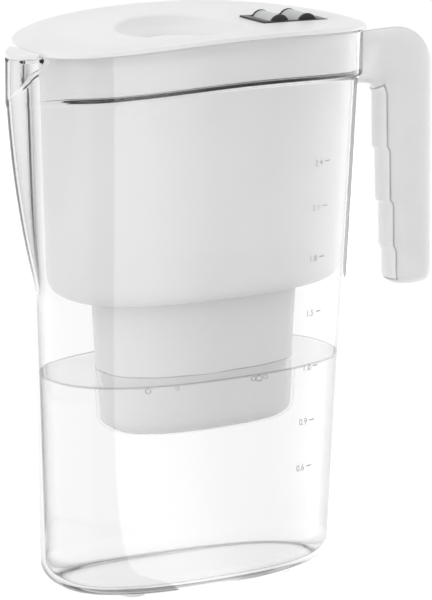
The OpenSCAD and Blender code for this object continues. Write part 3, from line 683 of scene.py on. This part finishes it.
STRIP_TURN = math.asin((STRIP_W / HANDLE_W) ** (1 / HANDLE_SQUARE))
INSERT_TURN = math.asin((INSERT_W / HANDLE_W / (1 - HANDLE_NARROW)) ** (1 / HANDLE_SQUARE))


def arc_points(rib, start, end, count):
    return [rib_edge(rib, lerp(start, end, k / count)) for k in range(count + 1)]


def face_points(rib, middle, half_turn, count):
    return arc_points(rib, middle - half_turn, middle + half_turn, count)


def sunk(points, depth, narrower=1.0):
    """Points moved into the handle from its outer side, and out of it for a negative depth."""
    return [(d - depth, y * narrower) for d, y in points]


def frame_ring(rib, grooved, slotted):
    """The frame's section: grooved for the strip outside, and slotted for the insert inside."""
    flank = arc_points(rib, STRIP_TURN, math.pi - INSERT_TURN, FLANK_STEPS)
    outer = face_points(rib, 0, STRIP_TURN * GROOVE_AT, GROOVE_STEPS)
    inner = face_points(rib, math.pi, INSERT_TURN * GROOVE_AT, GROOVE_STEPS)
    outer = sunk(outer, STRIP_DEPTH if grooved else 0)
    inner = sunk(inner, -INSERT_SINK if slotted else 0)
    return rib_place(rib, outer + flank + inner + [(d, -y) for d, y in reversed(flank)])


def cover_ring(rib, middle, half_turn, depth, narrower):
    """The section of a cover in a groove, as thick as the depth."""
    face = face_points(rib, middle, half_turn, FACE_STEPS)
    return rib_place(rib, face + sunk(face[::-1], depth, narrower))


def seam_shade_data(ribs, turn, half_turn, sink):
    """A dark bead along the bottom of a seam, sunk under the handle's surface, that paints the shade in the
    seam.
    """
    rings = []
    for rib in ribs:
        top = face_points(rib, turn, half_turn, 2)
        rings.append(rib_place(rib, sunk(top, sink) + sunk(top[::-1], 2 * sink)))
    return loft_data(rings)


def handle():
    ribs = handle_ribs()
    covered = ribs[:-BARE_END_RIBS]
    gripped = covered[INSERT_FROM_RIB:]
    last = len(covered) - 1
    frame_rings = [frame_ring(rib, k <= last, INSERT_FROM_RIB <= k <= last) for k, rib in enumerate(ribs)]
    strip_rings = [cover_ring(rib, 0, STRIP_TURN * STRIP_FILL, STRIP_DEPTH * 0.8, 0.98) for rib in covered]
    insert_rings = [cover_ring(rib, math.pi, INSERT_TURN * INSERT_FILL, -INSERT_DEPTH * 0.45, 0.97)
                    for rib in gripped]
    # Dark beads of painted shade along the seams.
    seams = [seam_shade_data(covered, side * STRIP_TURN * STRIP_SEAM_AT, *STRIP_BEAD) for side in (-1, 1)]
    seams += [seam_shade_data(gripped, side * (math.pi - INSERT_TURN * INSERT_SEAM_AT), *INSERT_BEAD)
              for side in (-1, 1)]
    make("handle_seam_shade", *joined(*seams), "jug", SEAM_SHADE_GREY, "soft_white", None, 28)
    # The frame takes the white that is painted darker for shade.
    for piece, rings, look, slot_name, node in (
            ("handle_frame_smooth", frame_rings, HANDLE_SHADED_WHITE, "white_plastic", "handle_frame"),
            ("handle_strip_smooth", strip_rings, WHITE, "soft_white", "handle_strip"),
            ("handle_insert_smooth", insert_rings, SOFT, "soft_white", "handle_grip")):
        make(piece, *loft_data(rings), "jug", look, slot_name, node, 28)


handle()


# ---- funnel ----

def funnel_front(z):
    return jug_x(z) - jug_a(z) + JUG_WALL + POUR_GAP


def funnel_back(z):
    return jug_x(z) + jug_a(z) - JUG_WALL - FUNNEL_GAP


def funnel_ring(z, inset, arch=0.0):
    return ring((funnel_back(z) - funnel_front(z)) / 2 - inset, jug_b(z) - JUG_WALL - SIDE_GAP - inset,
                (funnel_back(z) + funnel_front(z)) / 2, z, arch)


COLLAR_BACK = BAND_X + BAND_LEN - JUG_WALL - COLLAR_GAP
COLLAR_HALF_LEN = (COLLAR_BACK - funnel_front(SHOULDER_Z)) / 2
COLLAR_HALF_W = BAND_W - JUG_WALL - COLLAR_GAP
COLLAR_X = (COLLAR_BACK + funnel_front(SHOULDER_Z)) / 2
COLLAR_LOW_Z, COLLAR_TOP_Z = LEDGE_Z + 0.3, RIM_Z - 1
COLLAR_EDGE = 0.4


def collar_ring(z, inset):
    return ring(COLLAR_HALF_LEN - inset, COLLAR_HALF_W - inset, COLLAR_X, z, ARCH_RISE)


def cup_ring(z, inset):
    narrow = CUP_TAPER * (RESERVOIR_Z - z) / (RESERVOIR_Z - CUP_Z)
    return ring(CUP_LEN / 2 - narrow - inset, CUP_W / 2 - narrow - inset, CUP_X, z)


def funnel_side(inset):
    """Rings from the cup's foot to the collar's top, on the outer or the inner surface."""
    low, radius = CUP_Z + inset, CUP_ROUND - inset
    floor_z, floor_round = RESERVOIR_Z + inset, RESERVOIR_ROUND - inset
    collar_z = COLLAR_LOW_Z + inset
    rings = round_rings(cup_ring, low, inset, radius, turns(8))
    rings += level_rings(cup_ring, low + radius, floor_z - 2, inset, 12)
    foot = round_rings(funnel_ring, floor_z, inset, floor_round, turns(10))
    cup_top = cup_ring(floor_z, inset)
    rings += [mixed(cup_top, foot[0], 0.04, 0.2), mixed(cup_top, foot[0], 0.12, 0.8)]
    rings += [mixed(cup_top, foot[0], t, 1.0) for t in (0.25, 0.5, 0.75)]
    rings += foot
    rings += arched_rings(funnel_ring, floor_z + floor_round, collar_z - 1, inset, 30)
    rings += step_rings(rings[-1], collar_ring(collar_z, inset), 6)
    return rings + level_rings(collar_ring, collar_z, COLLAR_TOP_Z - 0.5, inset, 6)


def funnel():
    rim = [collar_ring(COLLAR_TOP_Z, inset) for inset in (COLLAR_EDGE, FUNNEL_WALL - COLLAR_EDGE)]
    rings = funnel_side(0) + rim + funnel_side(FUNNEL_WALL)[::-1]
    make("funnel_smooth", *loft_data(rings), "funnel", FROSTED, "frosted_plastic", "funnel")


funnel()


# ---- water ----

WATER_GAP = 0.12
# The waves' height, how far from a wall they are full, and how high the water climbs the jug and the cup.
WAVE_SHARE, WAVE_FROM, CLIMB_OUTER, CLIMB_INNER, CLIMB_SPAN = 0.22, 0.2, 0.5, 0.4, 0.12
# Rings over the water's surface, closer together where it climbs.
SURFACE_SHARES = (0.04, 0.1, 0.18, 0.26, 0.34, 0.42, 0.5, 0.58, 0.66, 0.74, 0.82, 0.9, 0.96, 1.0)


def swell(point, t):
    """A point of the water's surface, raised by the waves and, near the walls, by its climb."""
    wave = 0.9 * math.sin(point.x / 9.0 + 1.5 * math.sin(point.y / 14.0))
    wave += 0.6 * math.sin(point.x / 4.3 - point.y / 6.0 + 1.0)
    wave += 0.5 * math.sin(point.y / 5.0 + point.x / 15.0)
    climb = CLIMB_OUTER * (1 - min(1, t / CLIMB_SPAN)) + CLIMB_INNER * (1 - min(1, (1 - t) / CLIMB_SPAN))
    return Vector((point.x, point.y, point.z + wave * WAVE_SHARE * min(1, t / WAVE_FROM) + climb))


def water():
    """Filtered water round the cup, with a slightly wavy surface."""
    radius, inset = FOOT_ROUND - JUG_WALL, JUG_WALL + WATER_GAP
    low = PAD_H + JUG_FLOOR + WATER_GAP
    rings = round_rings(jug_ring, low, inset, radius, turns(10))
    rings += level_rings(jug_ring, low + radius, WATER_Z, inset, 16)
    outer, inner = rings.pop(), cup_ring(WATER_Z, -WATER_GAP)
    rings.append([swell(p, 0) for p in outer])
    rings += [[swell(p, t) for p in mixed(outer, inner, t)] for t in SURFACE_SHARES]
    rings += level_rings(cup_ring, WATER_Z, CUP_Z + CUP_ROUND, -WATER_GAP, 6)
    rings += round_rings(cup_ring, CUP_Z - WATER_GAP, -WATER_GAP, CUP_ROUND, reversed(turns(8, 0, 80)))
    make("water_body", *loft_data(rings), "jug", WATER, "clear_plastic", None, 60)


water()


def wall_point(x, z, lift):
    """The point on the jug's near face at a given place along it and height."""
    share = abs(x - jug_x(z)) / (jug_a(z) + lift)
    return Vector((x, -(jug_b(z) + lift) * (1 - share ** OVAL_N) ** (1 / OVAL_N), z))


def digits(text):
    """The outline of a number in the scene's own font, as flat (points, faces) from its lower right."""
    curve = bpy.data.curves.new("number", "FONT")
    curve.body, curve.size, curve.align_x = text, DIGIT_SIZE, "RIGHT"
    holder = bpy.data.objects.new("number", curve)
    flat = bpy.data.meshes.new_from_object(holder)
    bpy.data.objects.remove(holder)
    return [v.co.copy() for v in flat.vertices], [tuple(face.vertices) for face in flat.polygons]


def marks():
    """Printed litre marks down the near face: a dash with its number on the left."""
    lift, low, top = 0.05, MARKS[0][1], MARKS[-1][1]
    parts = []
    for label, z in MARKS:
        x = lerp(MARK_X_LOW, MARK_X_TOP, (z - low) / (top - low))
        corners = ((x - MARK_LEN, z), (x, z), (x, z + MARK_H), (x - MARK_LEN, z + MARK_H))
        parts.append(([wall_point(*corner, lift) for corner in corners], [(0, 1, 2, 3)]))
        points, faces = digits(label)
        right, base = x - MARK_LEN - MARK_GAP, z - DIGIT_SIZE * 0.3
        parts.append(([wall_point(right + p.x, base + p.y, lift) for p in points], faces))
    make("litre_marks", *joined(*parts), "jug", MARK_GREY, "clear_plastic", None, 60)


marks()


# ---- air bubbles ----

BUBBLE_DROP, BUBBLE_GAP, BUBBLE_FLAT = 0.6, 0.1, 0.9


def bubbles():
    """A few air bubbles that cling to the wall under the water's edge."""
    parts = []
    for x, r in BUBBLES:
        middle = wall_point(x, WATER_Z - r - BUBBLE_DROP, -JUG_WALL - r - BUBBLE_GAP)
        rings = []
        for q in turns(10, 9, 171):
            round_r, height = r * math.sin(q), -r * BUBBLE_FLAT * math.cos(q)
            rings.append([middle + Vector((round_r * math.cos(u), round_r * math.sin(u), height))
                          for u in turns(20, 0, 342)])
        parts.append(loft_data(rings))
    make("water_bubbles", *joined(*parts), "jug", BUBBLE, "clear_plastic", None, 60)


bubbles()


# ---- lid ----

LID_RINGS, LID_EDGE_R = 22, 0.55
# The softened lip where the plate turns down into the fill recess: its radius, and how deep it goes.
LIP_R, LIP_DEPTH, BELOW_R = 2.2, 0.7, 1.6
# How the points of the recess's circles are spread round it.
FILL_SPREAD = 1.25
# The recess's cone, and its throat as (out from the hole's radius, up from its bottom).
CONE_SHARES, CONE_TOP_DROP, CONE_LOW = (0.25, 0.5, 0.75, 1.0), 1.6, (1.2, 2.6)
THROAT = ((0.3, 1.8), (0, 1.2), (0, 0), (FILL_WALL, 0), (FILL_WALL, 2.4))
SKIRT_UP, SKIRT_EDGE = 0.4, 0.3
EAR_IN, EAR_OUT, EAR_HALF, EAR_UP = 8.9, 11.4, 2.5, 1.5
SPOUT_EAR_IN, SPOUT_EAR_OUT, SPOUT_EAR_R, SPOUT_EAR_BACK = 7.3, 9.3, 2.0, 5
# The opening in the lid for the indicator, half its length and width, and its depth and height.
BEZEL_SLOT = (16, 11.5, 14, 4)
BEZEL_RISE = 0.5


def share_at(x, y):
    """How far out a point lies on the lid: 0 in the middle, 1 at the edge."""
    return ((abs(x - LID_X) / LID_HALF_LEN) ** OVAL_N + (abs(y) / LID_HALF_W) ** OVAL_N) ** (1 / OVAL_N)


def lid_height(x, y, z):
    return z + ARCH_RISE * arch_at(x) - LID_DISH * max(0, 1 - (share_at(x, y) / LID_FLAT) ** 2)


def lid_edge_ring(inset, z):
    return ring(LID_HALF_LEN - inset, LID_HALF_W - inset, LID_X, z, ARCH_RISE)


def fill_circle(r, z, on_lid=False):
    """A circle round the fill recess, level at a height or on the dished lid over it."""
    points = []
    for p in lid_edge_ring(0, 0):
        turn = math.atan2(p.y * FILL_SPREAD, p.x - FILL_X)
        x, y = FILL_X + r * math.cos(turn), r * math.sin(turn)
        points.append(Vector((x, y, lid_height(x, y, z) if on_lid else z)))
    return points


BEZEL_Z = lid_height(BEZEL_X, 0, LID_Z) + BEZEL_RISE
BEZEL_PLACE = Matrix.Translation((BEZEL_X, 0, BEZEL_Z)) @ Matrix.Rotation(math.radians(BEZEL_TILT), 4, "Y")


def lid_surface(z, r):
    """Rings over the dished plate, from a circle round the fill recess to the lid's edge."""
    inner, outline = fill_circle(r, 0), lid_edge_ring(LID_EDGE_R, 0)
    rings = []
    for k in range(LID_RINGS + 1):
        flat = mixed(inner, outline, k / LID_RINGS)
        rings.append([Vector((p.x, p.y, lid_height(p.x, p.y, z))) for p in flat])
    return rings


def lid_plate():
    top = lid_surface(LID_Z, FILL_R + LIP_R)
    below = lid_surface(LID_LOW_Z, FILL_R + BELOW_R)
    edge = []
    for z, start, end in ((LID_Z - LID_EDGE_R, 10, 90), (LID_LOW_Z + LID_EDGE_R, 90, 170)):
        edge += [lid_edge_ring(LID_EDGE_R * (1 - math.sin(q)), z + LID_EDGE_R * math.cos(q))
                 for q in turns(5, start, end)]
    lip = []
    for q in turns(6)[1:]:
        drop = LIP_R * LIP_DEPTH * (1 - math.cos(q))
        circle = fill_circle(FILL_R + LIP_R * (1 - math.sin(q)), LID_Z, on_lid=True)
        lip.append([Vector((p.x, p.y, p.z - drop)) for p in circle])
    cone_r, cone_z = FILL_HOLE_R + CONE_LOW[0], FILL_BOTTOM_Z + CONE_LOW[1]
    cone = [fill_circle(lerp(FILL_R, cone_r, t), lerp(FILL_FACE_Z - CONE_TOP_DROP, cone_z, t))
            for t in CONE_SHARES]
    throat = [fill_circle(FILL_HOLE_R + out, FILL_BOTTOM_Z + up) for out, up in THROAT]
    return loft_data(throat[::-1] + cone[::-1] + lip[::-1] + top + edge + below[::-1], closed=True)


def lid_skirt():
    """The rim under the lid that enters the funnel's collar."""
    top = LID_LOW_Z + SKIRT_UP
    low = top - SKIRT_H
    corners = ((low, SKIRT_EDGE), (low + SKIRT_EDGE, 0), (top, 0), (top, SKIRT_T), (low, SKIRT_T))
    return loft_data([collar_ring(z, FUNNEL_WALL + SKIRT_GAP + inset) for z, inset in corners], closed=True)


def lid_ears():
    """The ears that hold the two flaps' pins, with the spout pin's ends."""
    ears = []
    for side in (-1, 1):
        low, high = sorted((side * EAR_IN, side * EAR_OUT))
        ears.append(box_data((FILL_PIN_X - EAR_HALF, low, FILL_PIN_Z - EAR_HALF),
                             (FILL_PIN_X + EAR_HALF, high, FILL_BOTTOM_Z + EAR_UP), 0.4))
        length, middle = SPOUT_EAR_OUT - SPOUT_EAR_IN, side * (SPOUT_EAR_IN + SPOUT_EAR_OUT) / 2
        ears.append(rod_data(SPOUT_EAR_R, length, SPOUT_PIN_X, SPOUT_PIN_Z, middle, 40, 0.3))
        low, high = sorted((side * SPOUT_EAR_IN, side * SPOUT_EAR_OUT))
        ears.append(box_data((SPOUT_PIN_X, low, SPOUT_PIN_Z - SPOUT_EAR_R),
                             (SPOUT_PIN_X + SPOUT_EAR_BACK, high, LID_LOW_Z + 0.3), 0.3))
    return ears


def lid():
    piece = make("lid_smooth", *lid_plate(), "lid", LID_WHITE, "white_plastic", "lid_shell", 40)
    half_len, half_w, depth, height = BEZEL_SLOT
    cut(piece, moved(box_data((-half_len, -half_w, -depth), (half_len, half_w, height)), BEZEL_PLACE), 40)
    make("lid_underside", *joined(lid_skirt(), *lid_ears()), "lid", WHITE, "white_plastic", None, 40)


lid()


# ---- flaps ----

# The fill flap's gap round its disc, its thickness, and its knuckle's radius and length.
FLAP_LIFT, FLAP_GAP, FLAP_T, KNUCKLE_R, KNUCKLE_LEN = 0.2, 0.6, 1.6, 2.1, 17.2
ARM_REACH, ARM_ROOT, ARM_HALF_W, ARM_LOW, ARM_TOP = 12, 5, 8, 2, 0.4
# The spout flap's tongue as (height over its underside, inset), and its arm.
TONGUE = ((0.0, 0.5), (0.5, 0.0), (1.7, 0.0), (2.2, 0.3), (2.4, 0.9))
TONGUE_END, TONGUE_LIFT, TONGUE_EDGE = 3.3, 0.3, 0.2
SWEEP_GAP, SPOUT_ARM_T, SPOUT_ARM_HALF_W, SPOUT_KNUCKLE_R, SPOUT_KNUCKLE_LEN = 3.1, 1.2, 4, 2.0, 14


def fill_flap():
    """A disc with a shallow dish, and the arm and knuckle that hang it on its pin."""
    low, r, t = FILL_BOTTOM_Z + FLAP_LIFT, FILL_HOLE_R - FLAP_GAP, FLAP_T
    plate = disc_data([(0, low), (r - 0.4, low), (r, low + 0.4), (r, low + t - 0.5), (r - 0.5, low + t),
                       (r - 3, low + t), (r - 3.6, low + t - 0.25), (0, low + t - 0.4)], FILL_X)
    knuckle = rod_data(KNUCKLE_R, KNUCKLE_LEN, FILL_PIN_X, FILL_PIN_Z, bevel=0.3)
    arm_start = (FILL_PIN_X - ARM_REACH, -ARM_HALF_W, FILL_BOTTOM_Z - ARM_LOW)
    arm = box_data(arm_start, (FILL_PIN_X, ARM_HALF_W, FILL_BOTTOM_Z - ARM_TOP), 0.3)
    root = box_data(arm_start, (FILL_PIN_X - ARM_ROOT, ARM_HALF_W, low + 0.3), 0.3)
    make("fill_flap_smooth", *joined(plate, knuckle, arm, root), "fill_flap", LID_GREY, "grey_plastic",
         "fill_flap")


fill_flap()


def tongue():
    """The plate over the spout's nose, with softened edges."""
    low_z, middle = RIM_Z + TONGUE_LIFT, Vector((SPOUT_PIN_X - TONGUE_END, 0, 0))
    outline = [p for p in band_ring(0, TONGUE_EDGE) if p.x < SPOUT_PIN_X - TONGUE_END]
    rings = []
    for lift, inset in TONGUE:
        points = []
        for p in outline:
            away = middle - p
            away.z = 0
            q = p + away.normalized() * min(inset, away.length * 0.5)
            points.append(Vector((q.x, q.y, low_z + lift + ARCH_RISE * arch_at(q.x))))
        rings.append(points)
    return loft_data(rings)


def spout_flap():
    """A tongue over the spout's nose, with its arm and knuckle behind."""
    sweep = LID_T + SWEEP_GAP
    arm_x = SPOUT_PIN_X - sweep - SPOUT_ARM_T
    start = (arm_x, -SPOUT_ARM_HALF_W, SPOUT_PIN_Z - 1.8)
    arm = box_data(start, (SPOUT_PIN_X, SPOUT_ARM_HALF_W, SPOUT_PIN_Z - 0.4), 0.25)
    post = box_data(start, (arm_x + SPOUT_ARM_T, SPOUT_ARM_HALF_W, RIM_Z + TONGUE_LIFT + 0.2), 0.25)
    knuckle = rod_data(SPOUT_KNUCKLE_R, SPOUT_KNUCKLE_LEN, SPOUT_PIN_X, SPOUT_PIN_Z, bevel=0.3)
    piece = make("spout_flap_smooth", *tongue(), "spout_flap", LID_WHITE, "white_plastic", "spout_flap", 35)
    cut(piece, rod_data(sweep, 60, SPOUT_PIN_X, SPOUT_PIN_Z, facets=96), 35)
    make("spout_flap_arm", *joined(arm, post, knuckle), "spout_flap", WHITE, "white_plastic", None, 35)


spout_flap()


# ---- indicator ----

HOUSING_HALF_LEN, HOUSING_HALF_W = WHEEL_PITCH / 2 + WHEEL_R + 0.5, (WHEEL_LEN + 0.4) / 2
HOUSING_WALL, HOUSING_DEPTH, HOUSING_TOP = 1.1, WHEEL_SINK + WHEEL_R + 1.4, -0.9
DISC_T, DISC_EDGE, DISC_BEVEL, TEETH, TOOTH_H, TOOTH_STEPS = 1.3, 0.35, 0.3, 30, 0.22, 6
CORE_GAP, SLEEVE_GAP = 1.5, 0.35


def housing_data():
    """Four walls under the bezel's opening."""
    x, y, wall = HOUSING_HALF_LEN, HOUSING_HALF_W, HOUSING_WALL
    walls = (((-x - wall, -y - wall), (-x, y + wall)), ((x, -y - wall), (x + wall, y + wall)),
             ((-x, -y - wall), (x, -y)), ((-x, y), (x, y + wall)))
    return joined(*[box_data((*low, -HOUSING_DEPTH), (*high, HOUSING_TOP)) for low, high in walls])


def disc_rings(x, y, z):
    """One of a wheel's two toothed discs."""
    half = DISC_T / 2
    rings = []
    for dy, inset in ((-half, DISC_EDGE), (-half + DISC_BEVEL, 0), (half - DISC_BEVEL, 0), (half, DISC_EDGE)):
        points = []
        for i in range(TEETH * TOOTH_STEPS):
            t = 2 * math.pi * i / (TEETH * TOOTH_STEPS)
            r = WHEEL_R - inset - TOOTH_H * (0.5 + 0.5 * math.cos(TEETH * t))
            points.append(Vector((x + r * math.sin(t), y + dy, z + r * math.cos(t))))
        rings.append(points)
    return loft_data(rings)


def wheel(side, body):
    """A finger wheel of two toothed discs on a core, with its light scale sleeve between them."""
    x, z = side * WHEEL_PITCH / 2, -WHEEL_SINK
    between = WHEEL_LEN - 2 * DISC_T
    discs = [disc_rings(x, end * (WHEEL_LEN / 2 - DISC_T / 2), z) for end in (-1, 1)]
    core = rod_data(WHEEL_R - CORE_GAP, between, x, z, facets=64)
    sleeve = rod_data(WHEEL_R - SLEEVE_GAP, between - 0.2, x, z, facets=96, bevel=0.2)
    make(body + "_smooth", *moved(joined(core, *discs), BEZEL_PLACE), body, BLACK, "black_plastic", body, 35)
    make(body + "_sleeve", *moved(sleeve, BEZEL_PLACE), body, SCALE_GREY, "grey_plastic",
         body.replace("wheel", "scale"), 35)


def indicator():
    plate = box_data((-BEZEL_LEN / 2, -BEZEL_W / 2, -1), (BEZEL_LEN / 2, BEZEL_W / 2, 0), 0.35)
    piece = make("bezel_smooth", *moved(plate, BEZEL_PLACE), "lid", BLACK, "black_plastic",
                 "indicator_bezel", 30)
    opening = box_data((-HOUSING_HALF_LEN, -HOUSING_HALF_W, -3), (HOUSING_HALF_LEN, HOUSING_HALF_W, 3))
    cut(piece, moved(opening, BEZEL_PLACE), 30)
    make("bezel_housing", *moved(housing_data(), BEZEL_PLACE), "lid", BLACK, "black_plastic", None, 30)
    wheel(-1, "day_wheel")
    wheel(1, "month_wheel")


indicator()


# ---- stage, light and camera ----

# How bright the white cards on the table look in a reflection, as (bearing in degrees, brightness).
CARDS = ((-180, 0.42), (-157, 0.36), (-150, 0.2), (-128, 0.2), (-126, 1.0), (-100, 1.0), (-82, 0.75),
         (-66, 0.3), (-52, 0.2), (-42, 0.4), (-28, 0.8), (-5, 0.95), (50, 0.4), (120, 0.22), (180, 0.42))
CARD_POWER = 4.0
FLOOR_HALF, FLOOR_GREYS = 30.0, (0.8, 0.83)
# The floor's white where it is seen, and how much of the floor that white is.
FLOOR_WHITE, FLOOR_SHARE = 1.025, 0.93
EVEN_LIGHT, SIDE_LIGHT, SPOUT_SIDE_LIGHT, TOP_LIGHT, BACK_LIGHT, WORLD_POWER = 0.5, 0.75, 0.6, 0.6, 0.3, 0.99
CAMERA_PLACE, CAMERA_TARGET = (-1379.40, -2220.36, 719.74), (16.74, 0, 134.75)
CAMERA_LENS, CAMERA_SENSOR, CAMERA_REACH = 332.15, 36, 100


def card_light(tree):
    """The white cards' brightness, by a point's bearing from the pitcher."""
    place = object_place(tree)
    east = maths(tree, "SUBTRACT", place["X"], BODY_X * MM)
    bearing = maths(tree, "ARCTAN2", place["Y"], east)
    share = maths(tree, "ADD", maths(tree, "DIVIDE", bearing, 2 * math.pi), 0.5)
    cards = add(tree, "ValToRGB")
    stops = cards.color_ramp.elements
    for index, (degrees, level) in enumerate(CARDS):
        stop = stops[index] if index < 2 else stops.new(0.5)
        stop.position = degrees / 360 + 0.5
        stop.color = (level, level, level, 1)
    feed(tree, share, cards.inputs["Fac"])
    return maths(tree, "MULTIPLY", cards.outputs["Color"], CARD_POWER)


def stage():
    """A white table that keeps the pitcher's shadow and shows cards only in reflections."""
    floor = bpy.data.meshes.new("floor")
    corners = [(x * FLOOR_HALF, y * FLOOR_HALF, 0) for x, y in ((-1, -1), (1, -1), (1, 1), (-1, 1))]
    floor.from_pydata(corners, [], [(0, 1, 2, 3)])
    piece = new_object("floor", floor)
    made, tree, shader = material("floor")
    low, high = [(grey, grey, grey) for grey in FLOOR_GREYS]
    feed(tree, ramp(tree, noise(tree, 3.0), low, high), shader.inputs["Base Color"])
    shader.inputs["Roughness"].default_value = 0.7
    white, cards = add(tree, "Emission", Strength=FLOOR_WHITE), add(tree, "Emission")
    feed(tree, card_light(tree), cards.inputs["Strength"])
    path = add(tree, "LightPath").outputs
    mirrored = maths(tree, "MULTIPLY", path["Is Glossy Ray"], path["Is Reflection Ray"])
    seen = maths(tree, "MAXIMUM", path["Is Camera Ray"], path["Is Transmission Ray"])
    either = maths(tree, "MAXIMUM", seen, mirrored)
    shown = mixed_shaders(tree, mirrored, white.outputs["Emission"], cards.outputs["Emission"])
    surface = mixed_shaders(tree, maths(tree, "MULTIPLY", either, FLOOR_SHARE),
                            shader.outputs["BSDF"], shown)
    feed(tree, surface, tree.nodes["Material Output"].inputs["Surface"])
    floor.materials.append(made)


def world():
    """A white studio: bright overhead and at the two sides and the back, darker in front."""
    made = bpy.data.worlds.new("world")
    bpy.context.scene.world = made
    made.use_nodes = True
    tree = made.node_tree
    light = tree.nodes["Background"]
    light.inputs["Color"].default_value = (1, 1, 1, 1)
    split = add(tree, "SeparateXYZ")
    feed(tree, add(tree, "TexCoord").outputs["Generated"], split.inputs[0])
    x, y, z = split.outputs

    def above(axis, power):
        return maths(tree, "MULTIPLY", maths(tree, "MAXIMUM", axis, 0.0), power)

    spout_side = maths(tree, "MULTIPLY", maths(tree, "LESS_THAN", x, 0.0), SPOUT_SIDE_LIGHT)
    side_power = maths(tree, "ADD", SIDE_LIGHT, spout_side)
    sides = maths(tree, "MULTIPLY", maths(tree, "MULTIPLY", x, x), side_power)
    sides_and_top = maths(tree, "ADD", sides, above(z, TOP_LIGHT))
    back_and_even = maths(tree, "ADD", above(y, BACK_LIGHT), EVEN_LIGHT)
    total = maths(tree, "ADD", sides_and_top, back_and_even)
    feed(tree, maths(tree, "MULTIPLY", total, WORLD_POWER), light.inputs["Strength"])
    white = add(tree, "Background", Color=(1, 1, 1, 1), Strength=1.0)
    path = add(tree, "LightPath").outputs
    direct = maths(tree, "MAXIMUM", path["Is Camera Ray"], path["Is Transmission Ray"])
    seen = maths(tree, "MAXIMUM", direct, path["Is Glossy Ray"])
    surface = mixed_shaders(tree, seen, light.outputs["Background"], white.outputs["Background"])
    feed(tree, surface, tree.nodes["World Output"].inputs["Surface"])


def camera():
    data = bpy.data.cameras.new("camera")
    data.lens, data.sensor_width = CAMERA_LENS, CAMERA_SENSOR
    data.clip_end = CAMERA_REACH
    piece = new_object("camera", data)
    place, target = [Vector(point) for point in in_frame((CAMERA_PLACE, CAMERA_TARGET))]
    piece.location = place
    piece.rotation_euler = (target - place).to_track_quat("-Z", "Y").to_euler()
    bpy.context.scene.camera = piece


stage()
world()
camera()
bpy.context.scene.view_settings.view_transform = "Standard"
